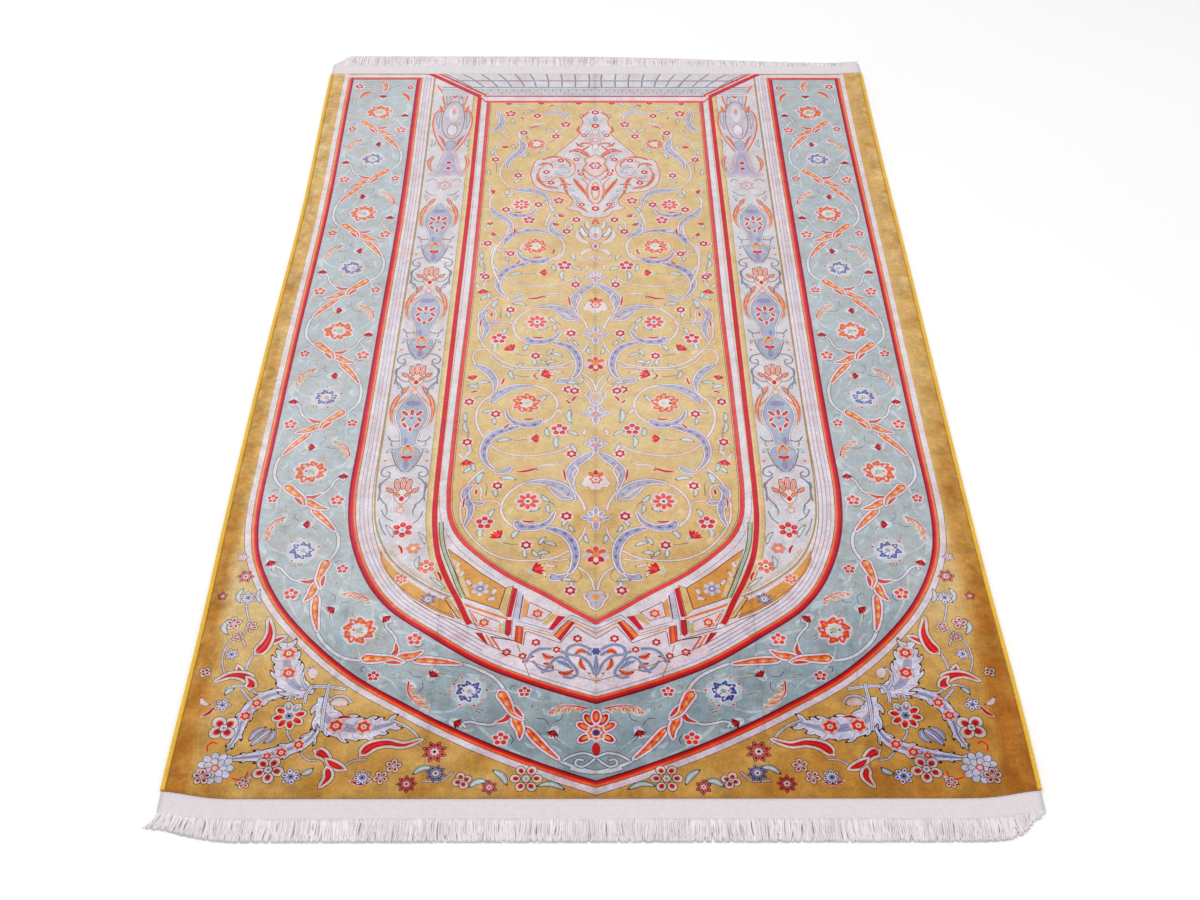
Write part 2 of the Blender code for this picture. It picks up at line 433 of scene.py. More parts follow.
class Drawing:
    """Shapes in paint order, each one mirrored over the axis."""

    def __init__(self):
        self.outlines = []
        self.dyes = []
        self.place = lambda point: point

    def flat(self):
        """The same drawing, for places that are on the rug already."""
        other = copy.copy(self)
        other.place = lambda point: point
        return other

    def paint(self, rows, at=complex):
        """Shapes from a table of kind, x, y and sizes, in turn."""
        for kind, x, y, *sizes in rows:
            getattr(self, kind)(at(x, y), *sizes)

    def blades(self, rows):
        """Blades from a table of look, shape, width and places."""
        for look, shape, width, numbers in rows:
            self.blade(look, shape, width, places(*numbers))

    def leaves(self, rows):
        """Leaves from a table of look, shape, width and places."""
        for look, shape, width, numbers in rows:
            self.leaf(look, shape, width, places(*numbers))

    def zones(self, line, rows):
        """All that lies outside a line moved sideways, from a table of offset and dye."""
        for offset, dye in rows:
            self.area(outside(beside(line, offset)), dye)

    def area(self, points, dye):
        """A closed shape in one dye, from points on the rug."""
        swept = sum((a.conjugate() * b).imag for a, b in zip(points, points[1:] + points[:1]))
        if abs(swept) < LEAST_AREA:
            return
        points = thinned(points[::-1] if swept < 0 else points)
        self.outlines += [points, [2 * AXIS - p.conjugate() for p in reversed(points)]]
        self.dyes += [DYE_NAMES.index(dye)] * 2

    def blade(self, look, shape, width, points):
        """A stem, leaf or petal along a smooth line through the points."""
        line = smooth_line([self.place(p) for p in points])
        profile = SHAPES[shape]
        last = len(line) - 1
        for share, grow, dye in LOOKS[look]:
            left, right = [], []
            for i, point in enumerate(line):
                ahead = line[min(i + 1, last)] - line[max(i - 1, 0)]
                side = 1j * ahead / (abs(ahead) or 1.0)
                half = width / 2 * share * profile(i / last) + grow
                if half > THINNEST:
                    left.append(point + side * half)
                    right.append(point - side * half)
            if len(left) < 2:
                continue
            if grow > 0:
                start = (line[0] - line[1]) / abs(line[0] - line[1])
                end = (line[-1] - line[-2]) / abs(line[-1] - line[-2])
                tips = [line[0] + start * grow * 1.3], [line[-1] + end * grow * 1.3]
            else:
                tips = [], []
            self.area(tips[0] + left + tips[1] + right[::-1], dye)

    def leaf(self, look, shape, width, points):
        """A blade whose broad part carries small patches in turn paler and deeper."""
        self.blade(look, shape, width, points)
        if look not in PATCHES or width < 5 or shape == "stem":
            return
        line = smooth_line([self.place(p) for p in points], 1.0)
        for n, i in enumerate(range(4, len(line) - 8, PATCH_SPACING)):
            wide = width * SHAPES[shape](i / (len(line) - 1))
            if wide > PATCHED_WIDTH:
                turn = cmath.phase(line[i + 1] - line[i - 1])
                side = cmath.rect(wide * 0.16, turn + (UP if n % 2 else -UP))
                self.flat().oval(line[i] + side, 2.1, wide * 0.20, turn, PATCHES[look][n % 2], 8)

    def blossom(self, centre, radius, petals, turn, blotch="crimson"):
        """A flower of separate round pale petals, each with a blotch at its foot."""
        middle, flat = self.place(centre), self.flat()
        size = radius * min(0.5, 1.9 / petals)
        for k in range(petals):
            angle = turn + math.tau * k / petals
            petal = middle + cmath.rect(radius - size, angle)
            flat.oval(petal, size + 0.6, size * 0.92 + 0.6, angle, "umber", 14)
            flat.oval(petal, size, size * 0.92, angle, "ivory", 14)
            flat.oval(petal - cmath.rect(size * 0.15, angle), size * 0.62, size * 0.52, angle, "rose", 10)
            flat.oval(petal - cmath.rect(size * 0.20, angle), size * 0.46, size * 0.38, angle, blotch, 8)
        flat.scallop(middle, radius * 0.30, petals, 0.10, "plum", turn)
        flat.scallop(middle, radius * 0.24, petals, 0.10, "ivory", turn)
        flat.oval(middle, radius * 0.10, radius * 0.10, 0, "vase", 8)

    def ragged(self, middle, reach, count, size, dyes, seed):
        """A ring of uneven three-lobed petals, painted halo, rim, petal and tip in turn."""
        halo, rim, petal, tip = dyes
        chance = random.Random(seed)
        petals = []
        for k in range(count):
            angle = math.tau * (k + 0.3 * chance.random()) / count
            out = cmath.rect(reach * (0.92 + 0.16 * chance.random()), angle)
            petal_size = size * (0.86 + 0.3 * chance.random())
            petals.append((middle + out, petal_size, angle + 0.7 * chance.random()))
        for grow, dye in ((0.38 * size, halo), (0.17 * size, rim), (0.0, petal)):
            for place, petal_size, angle in petals:
                self.scallop(place, petal_size * 0.84 + grow, 3, 0.26, dye, angle)
        for n, (place, petal_size, angle) in enumerate(petals):
            self.oval(place, petal_size * 0.50, petal_size * 0.26, angle, tip if n % 3 else "blush", 8)

    def scallop(self, centre, radius, lobes, depth, dye, turn=0.0, squash=1.0, points=5):
        """A round shape with a wavy rim."""
        middle = self.place(centre)
        count = max(10, lobes * points)
        rim = []
        for i in range(count):
            angle = math.tau * i / count
            reach = radius * (1 + depth * math.cos(lobes * angle))
            rim.append(complex(reach * math.cos(angle), reach * math.sin(angle) * squash))
        spin = cmath.rect(1, turn)
        self.area([middle + spin * p for p in rim], dye)

    def oval(self, centre, long, wide, turn, dye, count=10):
        """An ellipse whose long half axis points along turn."""
        middle = self.place(centre)
        spin = cmath.rect(1, turn)
        rim = [cmath.rect(1, math.tau * i / count) for i in range(count)]
        self.area([middle + spin * complex(p.real * long, p.imag * wide) for p in rim], dye)

    def lens(self, centre, long, wide, turn, dye):
        """A petal with a point at both ends, its long half axis along turn."""
        middle = self.place(centre)
        spin = cmath.rect(1, turn)
        along = [share / 3 for share in range(-3, 3)]
        rim = [complex(t, 1 - t * t) for t in along] + [complex(-t, t * t - 1) for t in along]
        self.area([middle + spin * complex(p.real * long, p.imag * wide) for p in rim], dye)

    def band(self, line, inner, outer, dye):
        """A ribbon between two offsets of a line."""
        self.area(beside(line, inner) + beside(line, outer)[::-1], dye)

    def box(self, x0, y0, x1, y1, dye):
        """A plain rectangle."""
        self.area(places(x0, y0, x1, y0, x1, y1, x0, y1), dye)

    def bloom(self, centre, radius, petals, kind, turn=UP):
        """A flower of separate petals round a heart."""
        halo, petal, tip, heart, dot = BLOOMS[kind]
        middle, flat = self.place(centre), self.flat()
        wide = min(0.42, 1.75 / petals) * radius
        star = halo in ("plum", "umber")
        draw_petal, reach = (flat.lens, 0.46) if star else (flat.oval, 0.36)
        grow = 0.6 if star else 0.2 * radius
        angles = [turn + math.tau * k / petals for k in range(petals)]
        if halo:
            flat.scallop(middle, radius * 0.6, petals, 0.10, halo, turn)
            for angle in angles:
                place = middle + cmath.rect(radius * 0.66, angle)
                draw_petal(place, radius * reach + 1.3 * grow, wide + grow, angle, halo)
        for angle in angles:
            draw_petal(middle + cmath.rect(radius * 0.66, angle), radius * reach, wide, angle, petal)
            flat.oval(middle + cmath.rect(radius * 0.74, angle), radius * 0.17, wide * 0.5, angle, tip, 8)
        flat.scallop(middle, radius * 0.36, petals, 0.08, heart, turn)
        flat.oval(middle, radius * 0.15, radius * 0.15, 0, dot, 8)

    def rosette(self, centre, radius, kind="ring"):
        """A small ring flower."""
        halo, ring, edge, heart, dot = BLOOMS[kind]
        middle, flat = self.place(centre), self.flat()
        if halo:
            flat.scallop(middle, radius * 1.35, 6, 0.10, halo)
        flat.scallop(middle, radius, 6, 0.14, edge, 0.4)
        flat.scallop(middle, radius * 0.86, 6, 0.14, ring, 0.4)
        flat.scallop(middle, radius * 0.45, 6, 0.12, heart, 0.2)
        flat.oval(middle, radius * 0.14, radius * 0.14, 0, dot, 8)

    def bud(self, centre, size, turn, kind="bud"):
        """A half-open flower that points along turn, with two sepals and a short stem."""
        halo, petal, tip, sepal, dot = BLOOMS[kind]
        middle, flat = self.place(centre), self.flat()
        out = cmath.rect(size, turn)
        if halo:
            flat.oval(middle + out * 0.2, size * 1.05, size * 0.66, turn, halo, 12)
        for lean in (-0.95, 0.95, -0.5, 0.5):
            side = out * cmath.rect(1, lean)
            flat.oval(middle + side * 0.42, size * 0.6, size * 0.2, turn + lean * 0.9, petal)
        flat.oval(middle + out * 0.42, size * 0.62, size * 0.2, turn, tip)
        flat.oval(middle - out * 0.45, size * 0.34, size * 0.26, turn, sepal, 8)
        flat.oval(middle - out * 0.05, size * 0.16, size * 0.14, turn, dot, 8)


BLOOMS = {
    # halo, petal, petal's tip, heart, dot
    "red": ("blush", "crimson", "red", "ivory", "vase"),
    "star": ("blush", "red", "coral", "ivory", "navy"),
    "ring": ("blush", "crimson", "wine", "ivory", "blush"),
    "ring_teal": ("mist", "crimson", "coral", "ivory", "crimson"),
    "red_teal": ("mist", "red", "coral", "ivory", "coral"),
    "bud": ("gold_pale", "crimson", "red", "leaf", "wine"),
    "bud_teal": ("mist", "wine", "crimson", "haze", "wine"),
    "orange": ("blush", "coral", "orange", "ivory", "wine"),
    "panel": (None, "lilac", "ivory", "panel", "plum"),
    "pink": ("plum", "blush", "rose", "ivory", "wine"),
    "blue": ("umber", "lavender", "navy", "ivory", "navy"),
    "ruby": ("umber", "rose", "maroon", "ivory", "navy"),
    "lily": ("umber", "frost", "violet", "lavender", "navy"),
}

# ---------------------------------------------------------------- the zones' lines, far end first
FIELD_EDGE = smooth_line(  # middle of the red line round the field
    places(211, 1110, 210.5, 800, 210.3, 600, 208.4, 480, 207.6, 380, 208, 330,
           210.5, 305, 214.8, 290, 220.5, 278.5, 227, 269, 235, 260, 244.8, 250, 255.5, 240.3,
           267, 230.8, 281.2, 221, 297, 211, 310.9, 201.2, 324.6, 191, 338.4, 182, AXIS, 176)
)
SECOND_LINE = smooth_line(  # middle of the red line between field and lamp band
    places(199, 1046, 198, 900, 197, 700, 196.5, 560, 196, 450, 195.6, 380, 195.8, 330, 196.7, 300,
           198.8, 280, 201, 265, 203.8, 252, 207.7, 240, 212, 228.5, 216.5, 218, 221, 208.5, 225, 200,
           229.5, 189, 233.5, 179.5, 236.5, 174)
)
GREEN_LINE = smooth_line(
    places(203.2, 296, 204.4, 282, 206.6, 268, 209.8, 256, 214, 244.5, 218.5, 232, 223.5, 218, 229.2, 204.5)
)
LAMP_EDGE = smooth_line(  # the gold line on the lamp band's outer side, then through the frames
    places(138.6, 1110, 138.6, 600, 138, 420, 138.4, 330, 141, 302, 146, 281, 153, 263.5, 160.5, 250.5,
           170, 238.8, 181, 229, 192, 220.5, 203, 213, 214, 207, 226, 201.5, 240, 195, 255, 187.5,
           269, 181.5)
)
INNER_GUARD = smooth_line(  # the border's inner edge
    places(115, 1110, 115, 600, 114.8, 480, 114, 400, 113.5, 330, 116, 300, 119.5, 280, 125, 260,
           132.4, 240, 142, 220, 155, 200.5, 165.5, 188.5, 179.8, 176.4, 200, 161.8, 220, 147.2,
           240, 133.6, 260, 122.3, 280, 113.3, 300, 105, 320, 97.6, 334, 92.8, AXIS, 88.5)
)
OUTER_GUARD = smooth_line(  # the outermost thin line
    places(20, 1110, 20, 400, 20, 320, 20.8, 300, 22.8, 280, 26.3, 260, 32.2, 240, 40.6, 220, 51.2, 200,
           64, 180.5, 80, 160.8, 98, 141.4, 117.5, 123, 135.4, 108.2, 152.3, 96.4, 180, 79.4,
           200, 67.2, 220, 56, 240, 45.4, 260, 35.6, 280, 26.6, 300, 18.2, 320, 10.2, 335, 4.8, AXIS, 0.8)
)
BORDER_SPINE = smooth_line(  # the border's middle line
    places(74, 1090, 74, 700, 74, 400, 73.2, 330, 73.8, 300, 75.5, 280, 79.5, 258, 87.4, 238, 97.6, 220.5,
           109.2, 202.4, 121, 186.6, 132.6, 172.4, 145.3, 160, 159.2, 148.8, 174, 138, 193.5, 124.8,
           213.5, 111.6, 232.5, 99.8, 252, 89.4, 272, 80, 291.3, 71.6, 311.3, 63.8, 331.2, 56.6,
           AXIS, 51.5),
    3.0,
)
SPINE_LENGTHS = np.concatenate([[0.0], np.cumsum(np.abs(np.diff(BORDER_SPINE)))])
SPINE_X = np.real(BORDER_SPINE)
SPINE_Y = np.imag(BORDER_SPINE)
SPINE_STEP = 4.0  # how far apart the spine's direction is measured


def spine_at(along):
    """The border's middle point and its inward normal at a length from the spine's far end."""
    total = SPINE_LENGTHS[-1]
    inside = min(max(along, SPINE_STEP), total - SPINE_STEP)
    here, back, front = (
        complex(np.interp(at, SPINE_LENGTHS, SPINE_X), np.interp(at, SPINE_LENGTHS, SPINE_Y))
        for at in (inside, inside - SPINE_STEP, inside + SPINE_STEP)
    )
    ahead = (front - back) / abs(front - back)
    return here + ahead * (along - inside), 1j * ahead


def on_border(along, across):
    """A place on the border, from the length along its spine and the distance inwards from it."""
    middle, inward = spine_at(along)
    narrow = 1 - 0.17 * smooth((along - 800) / 90)
    return middle + inward * across * narrow


def outside(line):
    """Everything between a line that runs from the far end to the axis, and the rug's left and near sides."""
    return line + places(AXIS, -50, -50, -50, -50, 1150)


# ---------------------------------------------------------------- the field
FIELD_PERIOD = 265.5
FIELD_COPIES = ((0.0, 0.0), (1.5, FIELD_PERIOD))
FIELD_BLADES = (
    # look, shape, width, places from head to tip
    ("stem", "stem", 1.5, (337, 311, 334, 322, 329, 332, 321, 341.5, 310, 348.5, 298, 351.5, 286, 349.5,
                           274, 343, 264.5, 333, 259, 321, 258.5, 309, 263, 298, 271, 290, 281, 286)),
    ("stem", "stem", 1.2, (329, 262, 321, 259, 311, 252.5, 300, 249.5, 285, 248, 270, 249, 258, 253,
                           247, 260, 236, 272, 228, 284, 222, 297, 220, 312,
                           221, 330, 225, 345, 232, 357, 240, 366)),
    ("stem", "stem", 1.2, (331, 240, 338, 234, 343, 225, 345.5, 213)),
    ("stem", "stem", 1.2, (337.5, 290, 335, 280, 331, 272, 328.5, 262)),
    ("stem", "stem", 1.0, (322, 250, 314, 248.5, 304, 249)),
    ("stem", "stem", 1.0, (239, 322, 248, 323, 255, 321, 257.5, 316)),
    ("thin", "stem", 0.8, (322, 243, 332, 236, 333, 226, 328, 221)),
    ("lavender", "crescent", 6.6, (326.5, 324, 321, 334, 313, 342, 302, 346.5, 291, 348, 280, 346)),
    ("sky", "leaf", 3.2, (324, 326, 316, 327, 309, 334, 303, 341)),
    ("violet", "club", 7.4, (272.5, 297, 276, 291, 285, 289, 295, 290.5, 303, 296.5, 308.5, 308)),
    ("ember", "leaf", 2.6, (277, 298, 284, 296.2, 292, 297.5)),
    ("violet", "crescent", 6.0, (300, 288.5, 308, 286, 317, 281.5, 324, 272.5,
                                 328, 260, 328, 247, 324, 235, 316, 228)),
    ("lavender", "club", 6.8, (305.5, 229.5, 311, 227.5, 316, 228.5, 321, 232)),
    ("cream_leaf", "leaf", 2.4, (302, 228, 300.5, 232, 301, 236)),
    ("lavender", "crescent", 5.6, (230, 344, 223.5, 335, 225, 324, 229.5, 313, 228.5, 302, 225, 291)),
    ("cream_leaf", "stem", 1.8, (228, 344.5, 235, 343.5, 238.5, 336, 238, 327, 241, 321)),
    ("ember", "leaf", 2.6, (233.5, 340, 233.6, 335, 232.6, 330)),
    ("sky", "leaf", 3.0, (231, 322, 236, 319.5, 241, 320)),
    ("ember", "leaf", 1.8, (223.5, 329, 222.5, 321, 223, 313)),
    ("lavender", "crescent", 6.6, (343.5, 388, 336, 381, 327, 371, 321.5, 360, 323.5, 349, 326, 338)),
    ("stem", "stem", 1.2, (326, 372, 330, 364, 327, 354, 325, 343)),
    ("ember", "leaf", 2.4, (316, 367, 317, 358, 318.5, 348)),
    ("lavender", "crescent", 7.0, (241, 460, 246, 469, 255, 478, 267, 484, 284, 485)),
    ("stem", "stem", 1.5, (283, 486.5, 294, 482, 303, 473, 308, 461, 307.5, 449, 303, 438, 295, 431)),
    ("stem", "stem", 1.5, (247, 479, 240, 470, 232, 460, 228, 448, 228, 435, 231, 422, 237, 410)),
    ("violet", "club", 7.2, (293, 434, 287, 429, 278, 427.5, 268, 430.5, 260.5, 437.5, 257, 448)),
    ("ember", "leaf", 2.6, (287, 437.5, 280, 435.5, 273, 437)),
    ("violet", "crescent", 6.6, (271, 425.5, 261, 422, 250, 416.5, 242, 407.5,
                                 238.2, 396, 238, 384, 242, 373, 249, 364)),
    ("lavender", "drop", 4.4, (251, 361, 259, 362.5, 265.5, 368)),
    ("ember", "leaf", 2.4, (262, 430.5, 258, 425, 255, 421.5)),
    ("stem", "stem", 1.1, (243, 401, 250, 393, 260, 387, 272, 384, 286, 384, 299, 386.5, 312, 391, 322, 398)),
    ("lavender", "crescent", 6.2, (222.5, 518, 231, 512.5, 240, 502, 244.5, 490, 244, 478)),
    ("stem", "stem", 1.2, (222.5, 519, 219.5, 528, 220.5, 538, 226, 543, 232, 542)),
    ("ember", "leaf", 2.4, (253.5, 500, 252.5, 493, 250, 486)),
    ("stem", "stem", 1.0, (236, 533, 243, 523, 253, 515, 266, 511.5,
                           285, 511, 300, 512, 313, 516.5, 322, 524)),
    ("stem", "stem", 1.1, (330, 498, 338, 489, 342.5, 478, 345, 467)),
    ("faint", "stem", 0.9, (250, 375, 262, 379, 274, 381)),
    ("ember", "leaf", 3.2, (269, 361.5, 280, 362.5, 290, 365, 293, 361)),
    ("cream_leaf", "leaf", 2.6, (289, 367, 297, 371, 306, 371, 313, 375)),
    ("twig", "thorn", 1.0, (302, 322, 307, 319, 310, 312)),
    ("twig", "thorn", 1.0, (243, 330, 243, 344, 240, 352)),
    ("twig", "thorn", 1.0, (262, 270, 270, 268, 279, 268)),
    ("twig", "thorn", 1.0, (296, 250, 298, 258, 300, 266)),
    ("twig", "thorn", 1.0, (251, 303, 250, 296)),
    ("twig", "thorn", 0.9, (320, 300, 317, 292, 318, 288)),
    ("twig", "thorn", 0.9, (281, 407, 270, 405.5, 262, 407)),
    ("twig", "thorn", 1.0, (282, 500, 272, 500, 262, 504, 261, 512)),
    ("twig", "thorn", 0.9, (288, 507, 288, 517, 286, 527)),
    ("twig", "thorn", 0.9, (221, 408, 222, 417, 219, 428)),
    ("twig", "thorn", 0.9, (322, 432, 323, 446, 321, 456)),
    ("twig", "thorn", 0.9, (225, 466, 231, 470, 236, 469)),
    ("twig", "thorn", 0.9, (247, 437, 247, 430)),
)
FIELD_LEAVES = (
    # look, length, width, x, y, turn in degrees
    ("greenery", 9, 4.6, 241, 282, 88), ("greenery", 8, 4, 250, 307, 70),
    ("greenery", 8, 4.2, 273, 280, 60), ("greenery", 8, 3.6, 283, 257, 95),
    ("greenery", 9, 3.6, 305, 268, -20), ("greenery", 8, 3.4, 298, 272, 60),
    ("greenery", 8, 3.8, 299, 257, 10), ("greenery", 7, 3.4, 292, 257, 130),
    ("greenery", 8, 3.6, 253, 334, 90), ("greenery", 11, 5.5, 237, 353, 75),
    ("greenery", 11, 4.2, 263, 352, -8), ("greenery", 8, 3.4, 303, 313, 95),
    ("greenery", 8, 3.6, 300, 326, 130), ("greenery", 7, 3.4, 290, 311, 20), ("faint", 8, 4, 268, 310, 80),
    ("greenery", 9, 3.8, 225, 364, 40), ("greenery", 8, 3.4, 230, 368, 100),
    ("greenery", 8, 3.6, 225, 395, 100), ("greenery", 8, 3.4, 326, 396, 120),
    ("greenery", 9, 3.8, 300, 417, 100), ("greenery", 9, 3.8, 324, 415, -30),
    ("greenery", 12, 4.0, 309.5, 403, 90), ("greenery", 10, 4.2, 257, 405, 12),
    ("greenery", 12, 3.4, 219, 424, 100), ("greenery", 8, 3.4, 239, 447, 20),
    ("greenery", 7, 3.2, 247, 433, 95), ("greenery", 14, 4.2, 322, 440, 95),
    ("cream_leaf", 8, 4, 312, 448, 130), ("greenery", 9, 3.8, 261, 503, 110),
    ("greenery", 8, 3.6, 268, 516, 40), ("greenery", 9, 3.6, 232, 490, 10),
    ("greenery", 9, 3.8, 222, 484, -20), ("greenery", 8, 3.6, 295, 466, 60),
    ("greenery", 7, 3.6, 275, 546, 70), ("greenery", 8, 3.4, 319, 295, 60),
    ("greenery", 9, 3.6, 322, 224, -8), ("greenery", 7, 3.4, 326, 219, 100),
    ("cream_leaf", 9, 3.4, 224, 387, 60), ("cream_leaf", 9, 3.2, 217, 384, 120),
    ("greenery", 9, 3.4, 218, 439, 95), ("cream_leaf", 8, 3.2, 337, 417, 80),
    ("greenery", 8, 3.4, 339, 275, 100), ("greenery", 7, 3.2, 325, 288, 120),
    ("cream_leaf", 9, 3, 306, 243, 160), ("ember", 7, 2.6, 224, 476, 20), ("ember", 8, 2.8, 326, 466, 60),
    ("ember", 7, 2.4, 320, 462, 130), ("faint", 9, 4.2, 243, 274, 130),
)
FIELD_BLOOMS = (
    # kind, petals, radius, x, y
    ("star", 8, 10.4, 283, 322.5), ("red", 5, 8.0, 243.5, 295), ("red", 5, 8.0, 311, 421),
)
FIELD_RINGS = (
    # radius, x, y
    (4.6, 283, 267), (4.6, 324, 212.5), (4.8, 319.5, 303.5), (4.6, 253.5, 343), (4.6, 219.5, 461.5),
    (4.6, 221, 403), (4.6, 247, 443.5), (4.6, 319, 480), (4.6, 323.5, 386.5),
)
FIELD_BUDS = (
    # size, turn in degrees, x, y
    (9.0, 130, 258, 277), (9.4, 20, 291, 237), (7.6, -80, 221.5, 377), (6.8, 100, 221, 496),
    (6.8, 0, 284, 501), (7.4, 0, 285, 408),
)


def leaf_at(drawing, look, length, width, x, y, turn):
    """A small bent leaf from its middle, its length and its turn in degrees."""
    out = cmath.rect(length * 0.72, math.radians(turn))
    bend = 1j * out * 0.22
    middle = complex(x, y)
    drawing.blade(look, "leaf", width, [middle - out, middle + bend, middle + out])


def orange_flower(drawing, centre, radius):
    """The field's big flower: an uneven ring of orange petals round a pale heart."""
    centre, flat = drawing.place(centre), drawing.flat()
    dyes = ("blush", "petal", "coral", "apricot")
    flat.ragged(centre, radius * 0.72, 9, radius * 0.33, dyes, int(centre.imag))
    flat.scallop(centre, radius * 0.50, 7, 0.10, "ivory", 0.3)
    flat.oval(centre - radius * 0.40, radius * 0.13, radius * 0.12, 0, "wine", 8)
    flat.oval(centre + radius * 0.12, radius * 0.20, radius * 0.16, 0, "leaf", 8)


LILY_LOBES = (
    # x, y, half length, half width, turn in degrees
    (0, 9, 4.4, 1.7, 90), (-4.4, 6, 3.0, 1.5, 120), (-8.6, 1.2, 3.4, 1.4, 160),
    (-3.4, -0.5, 3.2, 2.2, 60), (0, -6.5, 5.4, 2.4, 90),
)


def lily(drawing, middle, size, heart):
    """A pale palmette on the axis: three lobes up, an arm to each side, a drop below."""
    for grow, dye in ((1.9, "plum"), (1.4, "pale"), (0.0, "lavender")):
        for x, y, long, wide, turn in LILY_LOBES:
            place = middle + complex(x, y) * size
            drawing.oval(place, long * size + grow, wide * size + grow, math.radians(turn), dye, 12)
    drawing.scallop(middle, 3.0 * size, 5, 0.18, heart)
    drawing.oval(middle, 1.1, 1.1, 0, "ivory", 6)


CALYX = (  # a hanging point, under the stems' meeting
    # scallop: x, y, radius, lobes, depth, dye, turn. oval: x, y, half length, half width, turn, dye, points
    ("scallop", AXIS, 204, 9.0, 5, 0.16, "taupe", -UP),
    ("scallop", AXIS, 204, 8.4, 5, 0.16, "lilac", -UP),
    ("oval", AXIS, 197, 5.5, 3.6, UP, "lilac"),
)
CLOUD_FLOWER = (
    # kind and sizes as in the calyx
    ("scallop", AXIS, 345, 8.2, 6, 0.12, "taupe"),
    ("scallop", 338.5, 346, 5.4, 6, 0.12, "taupe"),
    ("scallop", 341, 352, 5.4, 6, 0.12, "taupe"),
    ("scallop", AXIS, 345, 7.7, 6, 0.12, "pale"),
    ("scallop", 338.5, 346, 4.9, 6, 0.12, "pale"),
    ("scallop", 341, 352, 4.9, 6, 0.12, "pale"),
    ("oval", 342.6, 358.5, 3.6, 2.4, 2.2, "coral"),
    ("oval", AXIS, 361, 3.2, 2.4, UP, "crimson"),
    ("scallop", AXIS, 351.5, 5.6, 6, 0.16, "coral"),
    ("scallop", AXIS, 351.5, 3.6, 6, 0.14, "ivory"),
    ("oval", AXIS, 351.5, 1.5, 1.5, 0, "violet", 8),
)


def draw_axis_motifs(drawing, shift):
    """The flowers and palmettes that stand on the middle line, in one copy of the field."""

    def at(x, y):
        return complex(x, y + shift)

    drawing.paint(CALYX, at)
    meeting = places(337, 210, 336.5, 205, 340, 200, 342, 194, AXIS, 190)
    drawing.blade("stem", "stem", 1.2, [at(p.real, p.imag) for p in meeting])
    drawing.scallop(at(AXIS, 205), 3.6, 5, 0.2, "apricot")
    # orange and red palmette
    drawing.oval(at(AXIS, 262.5), 2.6, 2.0, 0, "maroon", 8)
    for turn, dye in ((0, "coral"), (55, "coral"), (100, "leaf"), (140, "crimson")):
        angle = math.radians(90 + turn)
        out = cmath.rect(6.8, angle)
        drawing.oval(at(AXIS, 255) + out * 1.08, 5.0, 3.6, angle, "blush")
        drawing.oval(at(AXIS, 255) + out, 4.2, 2.9, angle, dye)
    drawing.oval(at(AXIS, 247), 4.4, 3.2, UP, "crimson")
    drawing.oval(at(AXIS, 249), 3.4, 2.4, UP, "ivory", 8)
    drawing.scallop(at(AXIS, 255), 3.6, 6, 0.15, "orange")
    lily(drawing, at(AXIS, 300), 1.15, "apricot")
    drawing.paint(CLOUD_FLOWER, at)
    lily(drawing, at(AXIS, 399), 0.9, "rose")
    drawing.blade("sky", "leaf", 4.4, [at(AXIS, 474), at(AXIS - 0.2, 464), at(AXIS, 452)])
    lily(drawing, at(AXIS, 443), 1.15, "rose")


def draw_flowers(drawing, blades, small_leaves, rings, buds, blooms):
    """One copy of the field's stems, leaves and flowers, from their tables."""
    drawing.leaves(blades)
    for row in small_leaves:
        leaf_at(drawing, *row)
    for radius, x, y in rings:
        drawing.rosette(complex(x, y), radius)
    for size, turn, x, y in buds:
        drawing.bud(complex(x, y), size, math.radians(turn))
    for kind, petals, radius, x, y in blooms:
        drawing.bloom(complex(x, y), radius, petals, kind)


def draw_field(drawing):
    """The field's ground and its two copies of the scrollwork."""
    drawing.box(-60, -60, AXIS, 1160, "gold")
    for shift_x, shift_y in FIELD_COPIES:
        move = complex(shift_x, shift_y)
        drawing.place = lambda point, move=move: point + move
        draw_flowers(drawing, FIELD_BLADES, FIELD_LEAVES, FIELD_RINGS, FIELD_BUDS, FIELD_BLOOMS)
        orange_flower(drawing, complex(277, 459.5), 13.5)
        drawing.place = lambda point: point
        draw_axis_motifs(drawing, shift_y)


